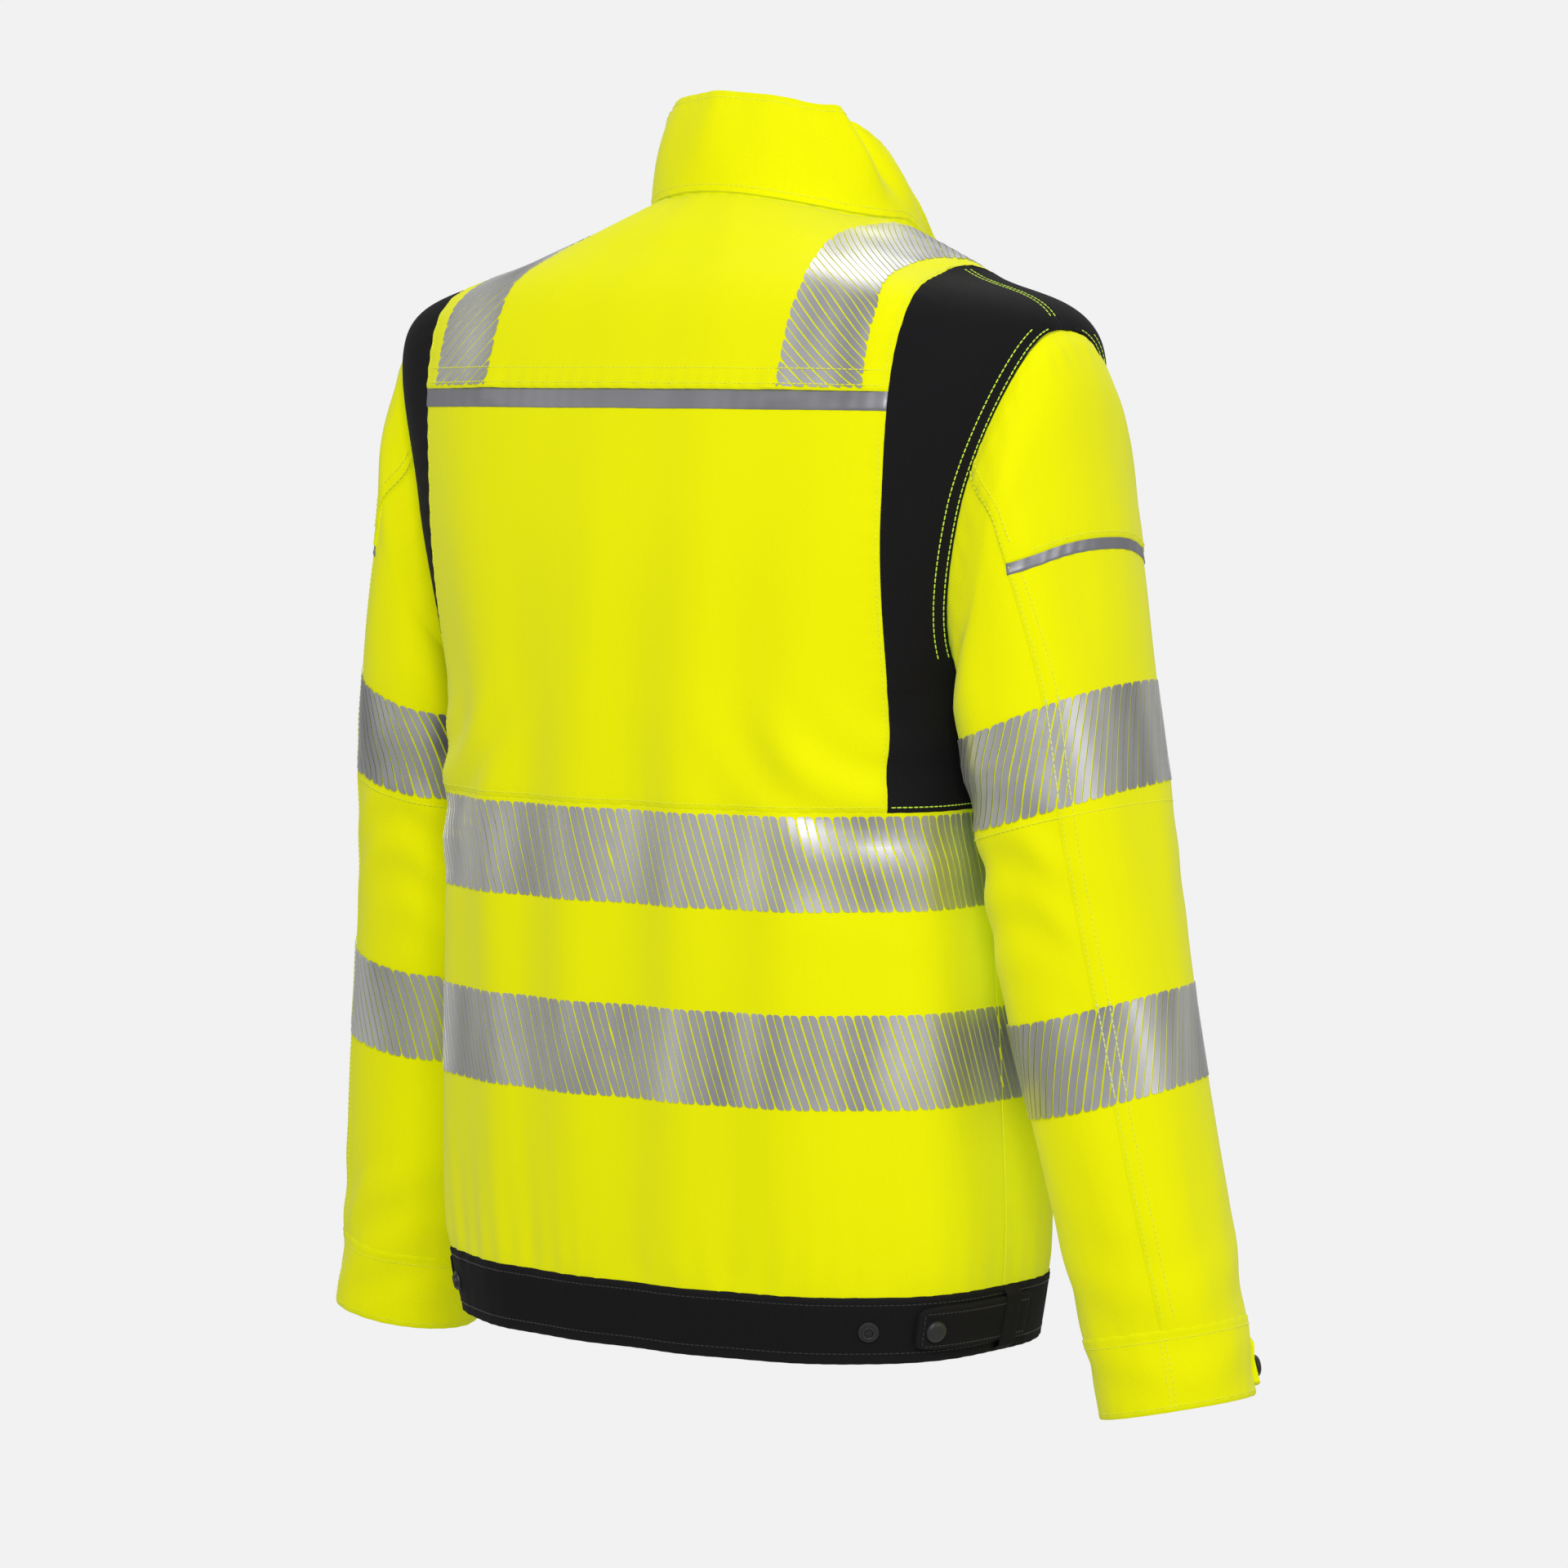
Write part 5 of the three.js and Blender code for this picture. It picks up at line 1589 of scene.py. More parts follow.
@dataclass
class BodyStitching:
    """Topstitching of the body."""

    cloth: BodyCloth
    near: float = 2.4 * MM
    far: float = 9.0 * MM
    yoke_rows: tuple[float, float] = (3 * MM, 11 * MM)
    brace_inner: float = 98 * MM
    brace_outer: float = 147 * MM

    def build(self) -> None:
        """Makes the rows of each thread."""
        torso = self.cloth.torso
        bright = Stitching("black_panel_topstitching", THREAD_BRIGHT, Ride())
        tone = Stitching("body_topstitching", THREAD_YELLOW, Ride())
        dark = Stitching("waistband_topstitching", THREAD_BLACK, Ride())
        for sign in SIDES.values():
            self._armhole(bright, sign)
            self._panel_foot(bright, sign)
            self._side_rows(tone, sign)
        self._yoke(tone)
        for z in (self.cloth.band_top - 4 * MM, -598 * MM):
            t = float(torso.level(z))
            edge = float(self.cloth.zip_edge(np.array(t))) - 2
            dark.row(torso, np.linspace(-edge, edge, 400), t, self.cloth.band_lift + 0.05 * MM)
        for rows in (bright, tone, dark):
            rows.build()

    def _armhole(self, thread: Stitching, sign: int) -> None:
        """Two rows round the armhole and along the shoulder."""
        torso, arm = self.cloth.torso, self.cloth.torso.arm
        turn = np.linspace(0, 2 * np.pi, 300)
        for distance in (self.near, self.far):
            t = arm.middle - (arm.reach + distance / 0.094) * np.cos(turn)
            a = 90 - (arm.half_angle * self.cloth.cover + distance / 0.0024) * np.sin(turn)
            keep = (t < torso.shoulder + 0.001) & (t > arm.bottom + 0.20)
            starts = np.flatnonzero(np.diff(keep.astype(int)))
            for part in np.split(np.arange(len(t)), starts + 1):
                if keep[part[0]] and len(part) > 3:
                    thread.row(torso, sign * a[part], t[part], 0.05 * MM)
            t = np.linspace(torso.shoulder + 0.12, torso.seam_top - 0.06, 60)
            a = torso.nudge(np.full(t.shape, 90.0), t, -distance - 1 * MM)
            inside = a > torso.side_seam(t) + 0.8
            if inside.sum() > 4:
                thread.row(torso, sign * a[inside], t[inside], 0.05 * MM)

    def _panel_foot(self, thread: Stitching, sign: int) -> None:
        """The row along the foot of the black panel."""
        torso = self.cloth.torso
        t = float(torso.level(self.cloth.seam + 3 * MM))
        inner = float(torso.black_edge(np.array([t]))[0]) + 0.8
        thread.row(torso, sign * np.linspace(inner, 180 - inner, 90), t, 0.05 * MM)

    def _side_rows(self, thread: Stitching, sign: int) -> None:
        """Rows along the yellow edges at the side seam, and down the zip."""
        torso, level = self.cloth.torso, self.cloth.torso.level
        t = np.linspace(float(level(self.cloth.seam)) + 0.03, float(level(torso.yoke_edge)) - 0.22, 160)
        thread.row(torso, sign * torso.nudge(torso.side_seam(t), t, -self.near), t, 0.05 * MM)
        t = np.linspace(float(level(torso.yoke_edge)) + 0.03, torso.neck - 0.06, 120)
        a = torso.nudge(np.minimum(torso.side_seam(t), 89.5), t, -self.near)
        thread.row(torso, sign * a, t, torso.yoke_lift(a, t) + 0.05 * MM)
        t = np.linspace(float(level(self.cloth.band_top)) + 0.05, torso.neck - 0.1, 260)
        for distance in (self.near, self.far):
            thread.row(torso, sign * torso.nudge(self.cloth.zip_edge(t), t, -distance), t, 0.05 * MM)

    def _yoke(self, thread: Stitching) -> None:
        """Rows across the yoke's edge, over the brace tapes' ends, and across the back seam."""
        torso = self.cloth.torso
        for height in self.yoke_rows:
            t = float(torso.level(torso.yoke_edge + height))
            edge = float(torso.side_seam(np.array([t]))[0]) - 0.8
            a = np.linspace(-edge, edge, 400)
            x = np.abs(torso.point(a, np.full(a.shape, t))[:, 0])
            film = smooth(self.brace_inner - 1 * MM, self.brace_inner, x)
            film = film * (1 - smooth(self.brace_outer, self.brace_outer + 1 * MM, x))
            thread.row(torso, a, t, torso.yoke_lift(a, np.full(a.shape, t)) + 0.05 * MM + film * 0.55 * MM)
        t = float(torso.level(self.cloth.seam + 3 * MM))
        edge = float(torso.side_seam(np.array([t]))[0]) - 0.6
        thread.row(torso, np.linspace(-edge, edge, 300), t, 0.05 * MM)


# ---------------------------------------------------------------- tapes of the body


@dataclass
class BodyTapes:
    """The two tapes round the body and the braces over the shoulders."""

    cloth: BodyCloth
    width: float = 50 * MM
    tops: tuple[tuple[str, float], ...] = (
        ("upper", node_head("upper_tape_back")),
        ("lower", node_head("lower_tape_back")),
    )
    brace_back: float = 122 * MM
    brace_shoulder: float = 104 * MM
    brace_front: float = 112 * MM
    brace_ease: float = 1.6
    front_end_rise: float = 0.7 * MM
    slope_share: float = 0.94
    lift: float = 0.22 * MM

    def build(self) -> None:
        """Makes every tape."""
        for name, top in self.tops:
            self._round(f"{name}_bars_back", -90, 90, top, 0.30, f"{name}_tape_back")
            for side, sign in SIDES.items():
                edge = float(self.cloth.zip_edge(self.cloth.torso.level(np.array([top])))[0])
                start, end = sorted((sign * 90.0, sign * edge))
                self._round(f"{name}_bars_front_{side}", start, end, top, 0.30, f"{name}_tape_front_{side}")
        for side, sign in SIDES.items():
            self._brace(side, sign)

    def _round(self, name: str, start: float, end: float, top: float, lean: float, node: str) -> None:
        """One tape between two angles."""
        torso = self.cloth.torso
        middle = float(torso.level(top - self.width / 2))
        angles = np.linspace(start, end, 901)
        run = run_along(torso.point(angles, np.full(angles.shape, middle)), 0)
        tape = SegmentedTape(self.width, lean=lean)
        spare = 0.4 * MM
        along, heights = tape.bars(spare, run[-1] - spare, False)
        a = np.interp(along, run, angles)
        t = torso.level(top - self.width + heights)[..., None] + 0 * a
        points, normals = torso.cloth(a, t, self.lift), torso.normal(a, t)
        tape.build(name, points, normals, Ride(), node)

    def _brace(self, side: str, sign: int) -> None:
        """One brace, from the yoke's edge over the shoulder to the upper tape in front."""
        torso = self.cloth.torso
        back, front = float(torso.level(torso.yoke_edge + 1.5 * MM)), float(torso.level(-311 * MM))

        def place(x: Array, w: Array) -> tuple[Array, Array]:
            """Angle and level at x from the middle, w from -1 at the back to 1 at the front."""
            crest = torso.crest(x)
            t = crest - (crest - np.where(w < 0, back, front)) * w * w
            a = torso.angle_at(x, t)
            return np.where(w < 0, a, 180 - a), t

        def middle_x(w: Array) -> Array:
            """How far the brace's middle is from the jacket's middle."""
            end = np.where(w < 0, self.brace_back, self.brace_front)
            share = np.minimum(w * w * self.brace_ease, 1)
            return self.brace_shoulder + (end - self.brace_shoulder) * share

        w = np.linspace(-1, 1, 1601)
        run = run_along(torso.point(*place(middle_x(w), w)), 0)
        tape = SegmentedTape(self.width, pitch=5.1 * MM, lean=-0.72, bow=0.8 * MM)
        along, heights = tape.bars(0, run[-1], False)
        w_bar = np.interp(along, run, w)
        across = (heights[..., None] / self.width - 0.5) + 0 * w_bar
        x = middle_x(w_bar) + across * self.width * self.slope_share
        a, t = place(x, w_bar)
        over = torso.yoke_lift(a, t) * (1 - smooth(-0.02, 0.10, w_bar))
        over = over + self.front_end_rise * smooth(0.70, 0.90, w_bar)
        a = a * sign
        tape.build(
            f"brace_bars_{side}",
            torso.cloth(a, t, over + self.lift),
            torso.normal(a, t),
            Ride(),
            f"brace_tape_{side}",
        )


# ---------------------------------------------------------------- sleeves


@dataclass
class SleeveCloth:
    """One sleeve: top and under sleeve, shoulder patch and piping, two tapes and the cuff."""

    side: str
    sleeve: Sleeve
    spacing: float = 3.0 * MM
    patch_lift: float = 1.5 * MM
    patch_row: float = 3 * MM
    row_lift: float = 0.05 * MM
    elbow_drop: float = 0.11
    elbow_sway: float = 0.02
    piping_reach: float = 6 * MM
    tape_width: float = 50 * MM
    tape_heights: tuple[tuple[str, float], ...] = (("upper", -286 * MM), ("lower", -439 * MM))
    tape_tilt: float = 5 * MM
    cuff_top_z: float = node_foot("sleeve_top_left")
    cuff_lift: float = 0.8 * MM

    def __post_init__(self) -> None:
        """Works out where the cuff starts and how the pieces are held."""
        self.cuff_top = self.sleeve.at_height(self.cuff_top_z)
        self.arm = ArmBlend(self.side)
        self.rigid = Ride(f"{self.side}_sleeve")

    def build(self) -> None:
        """Makes every piece of the sleeve."""
        self._tubes()
        self._patch()
        self._cuff()
        for name, z in self.tape_heights:
            hold = self.arm if name == "upper" else self.rigid
            self._tape(name, z, hold)
        self._stitches()

    def _tubes(self) -> None:
        """Top sleeve over the under sleeve."""
        sleeve = self.sleeve
        s = sleeve.rows(0, 0, self.cuff_top + 0.02, self.spacing)
        back = sleeve.back_seam(s)
        ends = {"low": Edge.TUCK, "high": Edge.TUCK}
        ends |= {"tuck_depth": 1.6 * MM, "tuck": 2.2 * MM, "pucker": CALM_PUCKER}
        start = -0.4 * MM * (1 - smooth(0, 0.12, s))[:, None]
        a = sleeve.columns(s, np.full(s.shape, sleeve.front_seam), 360 + back, self.spacing)
        top = Panel(sleeve, a, s[:, None], 0.35 * MM + start * 1.6, **ends)
        top.build(f"sleeve_top_cloth_{self.side}", YELLOW, self.arm, (f"sleeve_top_{self.side}",))
        a = sleeve.columns(s, back, np.full(s.shape, sleeve.front_seam), self.spacing)
        under = Panel(sleeve, a, s[:, None], start, first=Edge.TUCK, last=Edge.TUCK, **ends)
        under.build(f"sleeve_under_cloth_{self.side}", YELLOW, self.arm, (f"sleeve_under_{self.side}",))

    def _patch(self) -> None:
        """Shoulder patch and the piping under its edge."""
        sleeve = self.sleeve
        share = np.linspace(0, 1, 64)
        start = sleeve.front_seam + 6
        rows = np.linspace(0, 1, 54)[:, None]
        s = 0 * rows + np.zeros(share.shape)
        a = np.broadcast_to(start + (360 + 54 - start) * share, s.shape).copy()
        for _ in range(3):
            s = rows * sleeve.patch_end(a[-1])[None, :]
            a = start + (360 + sleeve.back_seam(s) - 1.0 - start) * share
        lift = self.patch_lift * smooth(-0.04, 0.4, s)
        patch = Panel(sleeve, a, s, lift, low=Edge.TUCK, rim=0.5 * MM, tuck=1.6 * MM)
        patch.build(f"sleeve_patch_cloth_{self.side}", YELLOW, self.arm, (f"sleeve_patch_{self.side}",))
        rows = np.linspace(0, 1, 7)[:, None]
        high, low = sleeve.patch_end(a[-1], -4 * MM), sleeve.patch_end(a[-1], self.piping_reach)
        s = high + (low - high) * rows
        piping = Panel(sleeve, np.broadcast_to(a[-1], s.shape), s, 0.9 * MM, thickness=0.6 * MM, rim=0.2 * MM)
        piping.build(f"sleeve_piping_strip_{self.side}", PIPING, self.arm, (f"sleeve_piping_{self.side}",))

    def _cuff(self) -> None:
        """Cuff band."""
        sleeve = self.sleeve
        s = sleeve.rows(0, self.cuff_top, sleeve.end, 2.4 * MM)
        a = np.linspace(0, 360, 121)[None, :-1]
        cuff = Panel(sleeve, a, s[:, None], self.cuff_lift, thickness=2.2 * MM, wrap=True, rim=0.6 * MM)
        cuff.build(f"cuff_cloth_{self.side}", YELLOW, self.rigid, (f"cuff_{self.side}",))

    def _tape(self, name: str, z: float, hold: object) -> None:
        """One ring of reflective bars."""
        sleeve = self.sleeve
        start, end = sleeve.across(sleeve.at_height(z), self.tape_width)
        angles = np.linspace(0, 360, 1441)
        middle = np.full(angles.shape, (start + end) / 2)
        run = run_along(sleeve.point(angles, middle), 0)
        tape = SegmentedTape(self.tape_width, lean=0.36)
        along, heights = tape.bars(0, run[-1], True)
        a = np.interp(np.mod(along, run[-1]), run, angles)
        tilt = self.tape_tilt * (end - start) / self.tape_width * np.sin(np.radians(a))
        s = (start + (end - start) * heights / self.tape_width)[..., None] + tilt
        points, normals = sleeve.cloth(a, s, 0.62 * MM), sleeve.normal(a, s)
        node = f"sleeve_{name}_tape_{self.side}"
        tape.build(f"sleeve_{name}_bars_{self.side}", points, normals, hold, node)

    def _stitches(self) -> None:
        """Rows down the back seam, along the patch's edge and round the cuff."""
        sleeve = self.sleeve
        seam = Stitching(f"sleeve_topstitching_{self.side}", THREAD_YELLOW, self.arm)
        s = np.linspace(0.12, self.cuff_top - 0.08, 500)
        bands = [sleeve.across(sleeve.at_height(z), self.tape_width) for _, z in self.tape_heights]
        film = sum(smooth(b[0] - 0.02, b[0], s) * (1 - smooth(b[1], b[1] + 0.02, s)) for b in bands)
        edge = sleeve.back_seam(s)
        patch_end = float(sleeve.patch_end(np.array([edge[100]]))[0])
        lift = 0.42 * MM + self.patch_lift * (1 - smooth(patch_end - 0.02, patch_end, s)) + film * 0.5 * MM
        pale = Stitching(f"sleeve_tape_stitching_{self.side}", THREAD_PALE, self.arm, radius=0.4 * MM)
        for distance in (2.2 * MM, 8.5 * MM):
            a = sleeve.nudge(edge, s, -distance)
            seam.row(sleeve, a, s, lift)
            for start, end in bands:
                on = (s > start) & (s < end)
                pale.row(sleeve, a[on], s[on], lift[on] + 0.12 * MM)
        pale.build()
        ring = np.linspace(0, 360, 200)
        elbow = bands[0][1] + self.elbow_drop
        seam.row(sleeve, ring, elbow + self.elbow_sway * np.sin(np.radians(ring)), 0.40 * MM)
        a = np.linspace(sleeve.front_seam + 8, 360 + 50, 260)
        seam.row(sleeve, a, sleeve.patch_end(a, -self.patch_row), self.patch_lift + self.row_lift)
        seam.build()
        cuff = Stitching(f"cuff_topstitching_{self.side}", THREAD_YELLOW, self.rigid)
        a = np.linspace(0, 360, 260)
        for s_row in (self.cuff_top + 0.08, sleeve.end - 0.16):
            cuff.row(sleeve, a, np.full(a.shape, s_row), self.cuff_lift + 0.05 * MM)
        s = np.linspace(self.cuff_top + 0.05, sleeve.end - 0.06, 60)
        for distance in (-1.4 * MM, 1.4 * MM):
            cuff.row(sleeve, sleeve.nudge(sleeve.back_seam(s), s, distance), s, self.cuff_lift + 0.02 * MM)
        cuff.build()


# ---------------------------------------------------------------- adjusters


@dataclass(frozen=True)
class Tab:
    """A stitched tab with a round-cornered tip, on a band of a surface."""

    root: float
    tip: float
    middle: float
    half: float
    lift: float
    thickness: float = 2.3 * MM
    corner: float = 0.22

    def grid(self) -> tuple[Array, Array]:
        """Angles and places along the surface."""
        share = 1 - np.cos(np.linspace(0, np.pi / 2, 34))
        a = self.tip + (self.root - self.tip) * share
        cut = np.clip(1 - share / self.corner, 0, 1)
        half = self.half * (1 - 0.30 * (1 - np.sqrt(1 - cut**2)))
        across = np.linspace(-1, 1, 15)[:, None]
        return a[None, :] + 0 * across, self.middle + half[None, :] * across

    def build(
        self, name: str, surface: Surface, finish: ClothFinish, thread: ThreadFinish, hold: Ride, node: str
    ) -> None:
        """Makes the tab and its row of topstitching.

        Args:
            name: The piece's name.
            surface: What the tab lies on.
            finish: The cloth's finish.
            thread: The thread's finish.
            hold: How it moves.
            node: The CAD node that it stands for.
        """
        a, t = self.grid()
        panel = Panel(surface, a, t, self.lift, thickness=self.thickness, rim=0.8 * MM, pucker=0.00012)
        panel.build(name, finish, hold, (node,))
        rows = Stitching(f"{name}_topstitching", thread, hold, pitch=2.6 * MM, length=2.1 * MM)
        inset = self.half * 0.76
        line = np.linspace(0.07, 0.97, 80)
        for share in (-1, 1):
            along = self.tip + (self.root - self.tip) * line
            rows.row(surface, along, self.middle + share * inset, self.lift)
        across = np.linspace(-0.95, 0.95, 20) * inset + self.middle
        rows.row(surface, np.full(20, self.tip + (self.root - self.tip) * 0.05), across, self.lift)
        rows.build()


@dataclass
class Adjusters:
    """Waist tabs and cuff tabs, with their snaps, studs and keepers."""

    torso: Torso
    sleeves: dict[str, SleeveCloth]
    band_middle: float = node_middle("waistband")[2]
    root: float = 97
    tip: float = 65
    cap: float = 70
    stud: float = 52
    tab_height: float = 25 * MM
    band_lift: float = 0.9 * MM
    keeper: float = 91.5
    cuff_root: float = 258
    cuff_tip: float = 320
    cuff_cap: float = 307
    cuff_tab_height: float = 24 * MM
    tab_gap: float = 3.2 * MM

    def build(self) -> None:
        """Makes every adjuster."""
        for side, sign in SIDES.items():
            self._waist(side, sign)
            self._cuff(side, self.sleeves[side])

    def _seat(self, surface: Surface, a: float, t: float, lift: float) -> tuple[Vector, Vector]:
        """Spot on a surface and the way it faces there."""
        place = (np.array([float(a)]), np.array([float(t)]))
        return Vector(surface.cloth(*place, lift)[0]), Vector(surface.normal(*place)[0])

    def _waist(self, side: str, sign: int) -> None:
        """Waist tab, its cap, the stud and the keeper."""
        torso = self.torso
        t = float(torso.level(self.band_middle))
        half = float(torso.level(self.band_middle + self.tab_height / 2)) - t
        lift = self.band_lift + self.tab_gap
        hold = Ride(f"{side}_waist_tab")
        tab = Tab(sign * self.root, sign * self.tip, t, half, lift)
        tab.build(f"waist_tab_cloth_{side}", torso, BLACK, THREAD_BLACK, hold, f"waist_tab_{side}")
        spot = self._seat(torso, sign * self.cap, t, lift - 0.05 * MM)
        SNAP_CAP.build(f"waist_cap_{side}", CAP, hold, *spot, f"waist_snap_{side}")
        spot = self._seat(torso, sign * self.stud, t, self.band_lift - 0.05 * MM)
        SNAP_STUD.build(f"waist_ring_{side}", CAP, Ride(), *spot, f"waist_stud_{side}")
        a = sign * np.linspace(self.keeper - 1.6, self.keeper + 1.6, 9)
        height = np.linspace(-17.2 * MM, 17.2 * MM, 30)
        levels = torso.level(self.band_middle + height)
        arch = 1 - smooth(13.2 * MM, 16.8 * MM, np.abs(height))
        rise = self.band_lift + 0.4 * MM + arch * 3.9 * MM
        keeper = Panel(torso, a[None, :], levels[:, None], rise[:, None], thickness=0.9 * MM, pucker=0.0)
        keeper.build(f"waist_keeper_{side}", BLACK, Ride())

    def _cuff(self, side: str, cloth: SleeveCloth) -> None:
        """Cuff tab and its cap."""
        sleeve = cloth.sleeve
        middle = (cloth.cuff_top + sleeve.end) / 2
        start, end = sleeve.across(middle, self.cuff_tab_height)
        hold = Ride(f"{side}_cuff_tab")
        lift = cloth.cuff_lift + self.tab_gap
        tab = Tab(self.cuff_root, self.cuff_tip, middle, (end - start) / 2, lift)
        tab.build(f"cuff_tab_cloth_{side}", sleeve, YELLOW, THREAD_YELLOW, hold, f"cuff_tab_{side}")
        spot = self._seat(sleeve, self.cuff_cap, middle, lift - 0.05 * MM)
        SNAP_CAP.build(f"cuff_cap_{side}", CAP, hold, *spot, f"cuff_snap_{side}")


# ---------------------------------------------------------------- chest pockets


@dataclass
class ChestPockets:
    """Chest pockets with flaps."""

    torso: Torso
    middle: float = node_middle("chest_pocket_left")[0]
    width: float = 105 * MM
    top: float = node_head("chest_pocket_left")
    height: float = 125 * MM
    flap_top: float = node_head("chest_flap_left")
    flap_height: float = 48 * MM
    sewn_lift: float = 2.6 * MM
    full_lift: float = 7.0 * MM
    flap_lift: float = 9.6 * MM

    def _place(self, x: Array, z: Array) -> tuple[Array, Array]:
        """Angle and level on the chest at x and height z."""
        torso = self.torso
        heights = torso.point(np.full(torso.fine.shape, 145.0), torso.fine)[:, 2]
        t = np.interp(z, heights[:8000], torso.fine[:8000])
        return 180 - torso.angle_at(x, t), t

    def _away(self, x: Array, z: Array, top: float, height: float) -> Array:
        """Distance inside the outline of a rectangle."""
        across = self.width / 2 - np.abs(x - self.middle)
        return np.minimum(across, np.minimum(top - z, z - (top - height)))

    def build(self) -> None:
        """Makes both pockets and both flaps."""
        x = np.linspace(self.middle - self.width / 2, self.middle + self.width / 2, 42)[None, :]
        for side in SIDES:
            z = np.linspace(self.top - self.height, self.top, 48)[:, None]
            away = self._away(x, z, self.top, self.height)
            lift = self.sewn_lift + (self.full_lift - self.sewn_lift) * smooth(0, 16 * MM, away)
            self._panel("pocket", side, x, z, lift, Ride())
            z = np.linspace(self.flap_top - self.flap_height, self.flap_top, 22)[:, None]
            lift = self.flap_lift - 3.5 * MM * (1 - smooth(0, 12 * MM, self.flap_top - z))
            self._panel("flap", side, x, z, lift, Ride(f"{side}_chest_flap"))

    def _panel(
        self,
        part: str,
        side: str,
        x: Array,
        z: Array,
        lift: Array,
        hold: Ride,
    ) -> None:
        """Makes one piece of a pocket and its topstitching.

        Args:
            part: "pocket" or "flap".
            side: The side that it is on.
            x: Distances from the middle, as one row.
            z: Heights, as one column.
            lift: How far each point stands off the chest.
            hold: How it moves.
        """
        sign = SIDES[side]
        a, t = self._place(x, z)
        panel = Panel(self.torso, sign * a, t, lift)
        panel.build(f"chest_{part}_cloth_{side}", YELLOW, hold, (f"chest_{part}_{side}",))
        rows = Stitching(f"chest_{part}_topstitching_{side}", THREAD_YELLOW, hold)
        inset = 3 * MM
        low, high = float(z.min()) + inset, float(z.max()) - inset
        start, end = float(x.min()) + inset, float(x.max()) - inset
        upright = np.linspace(low, high, 60)
        level = np.linspace(start, end, 60)
        lines = [(np.full(60, start), upright), (np.full(60, end), upright), (level, np.full(60, low))]
        lines.append((level, np.full(60, high)))
        flat_z = np.broadcast_to(z, lift.shape)[:, 0]
        for line_x, line_z in lines:
            spots = zip(line_x, line_z)
            across = np.array([np.interp(one, x[0], self._row(lift, flat_z, high)) for one, high in spots])
            angle, place = self._place(line_x, line_z)
            rows.row(self.torso, sign * angle, place, across + 0.05 * MM)
        rows.build()

    def _row(self, lift: Array, heights: Array, z: float) -> Array:
        """Lift of the grid along its row at height z."""
        full = np.broadcast_to(lift, (len(heights), 42))
        return np.array([np.interp(z, heights, full[:, j]) for j in range(42)])


# ---------------------------------------------------------------- collar and neck


@dataclass
class Neck:
    """Collar with its lining, hanger loop and label."""

    torso: Torso
    collar: Collar
    loop_path: tuple[tuple[float, float, float], ...] = (
        (-30, 26, 4),
        (-20, 8, 1),
        (0, 0, 0),
        (20, 8, 1),
        (30, 26, 4),
    )

    def build(self) -> None:
        """Makes every piece at the neck."""
        collar = self.collar
        a = np.linspace(-1, 1, 190)[None, :]
        t = np.linspace(0, 1, 30)[:, None]
        outer = Panel(collar, a, t, 1.5 * MM, low=Edge.TUCK, rim=0.6 * MM)
        outer.build("collar_outer_cloth", YELLOW, Ride(), ("collar_outer",))
        lining = Panel(collar, a, t * 0.985, -0.2 * MM, thickness=1.3 * MM)
        lining.build("collar_lining_cloth", BLACK, Ride(), ("collar_lining",))
        rows = Stitching("collar_topstitching", THREAD_YELLOW, Ride())
        line = np.linspace(-0.97, 0.97, 500)
        for share in (0.93, 0.06):
            rows.row(collar, line, share, 1.55 * MM)
        for end in (-0.97, 0.97):
            rows.row(collar, end, np.linspace(0.08, 0.92, 60), 1.55 * MM)
        rows.build()
        self._loop()
        self._label()

    def _loop(self) -> None:
        """Hanger loop: a flat tape folded to a soft oval."""
        path = np.array(self.loop_path) * MM
        line = np.vstack([2 * path[0] - path[1], path, 2 * path[-1] - path[-2]])
        w = np.linspace(1, len(path), 60)
        middle = spline(line, w)
        along = np.gradient(middle, axis=0)
        along /= np.linalg.norm(along, axis=1, keepdims=True)
        side = np.cross(along, [0, 0, 1.0])
        side /= np.linalg.norm(side, axis=1, keepdims=True)
        up = np.cross(side, along)
        turn = np.linspace(0, 2 * np.pi, 17)[:-1]
        ring = np.stack([np.cos(turn) * 1.2 * MM, np.sin(turn) * 2.4 * MM], axis=-1)
        points = middle[:, None] + side[:, None] * ring[None, :, :1] + up[:, None] * ring[None, :, 1:]
        rows, columns = points.shape[:2]
        index = np.arange(rows * columns).reshape(rows, columns)
        after = np.roll(index, -1, axis=1)
        sides = [index[:-1], after[:-1], after[1:], index[1:]]
        faces = np.stack(sides, axis=-1).reshape(-1, 4).tolist()
        faces += [index[0, ::-1].tolist(), index[-1].tolist()]
        piece = make_piece("hanger_loop_tape", points, faces, CORD, Ride(), ("hanger_loop",))
        bpy.ops.object.select_all(action="DESELECT")
        piece.select_set(True)
        bpy.context.view_layer.objects.active = piece
        bpy.ops.object.mode_set(mode="EDIT")
        bpy.ops.mesh.select_all(action="SELECT")
        bpy.ops.mesh.normals_make_consistent(inside=False)
        bpy.ops.object.mode_set(mode="OBJECT")

    def _label(self) -> None:
        """Blank neck label that hangs from the neck seam."""
        strip = Strip(((35.0, 6.0), (33.5, -10.0), (36.0, -27.0), (45.0, -45.0)))
        a = np.linspace(-22, 22, 23)[None, :] * MM
        label = Panel(strip, a, np.linspace(0, 3, 24)[:, None], 0.0, thickness=0.7 * MM, pucker=0.0)
        label.build("neck_label_cloth", LABEL, Ride(), ("neck_label",))


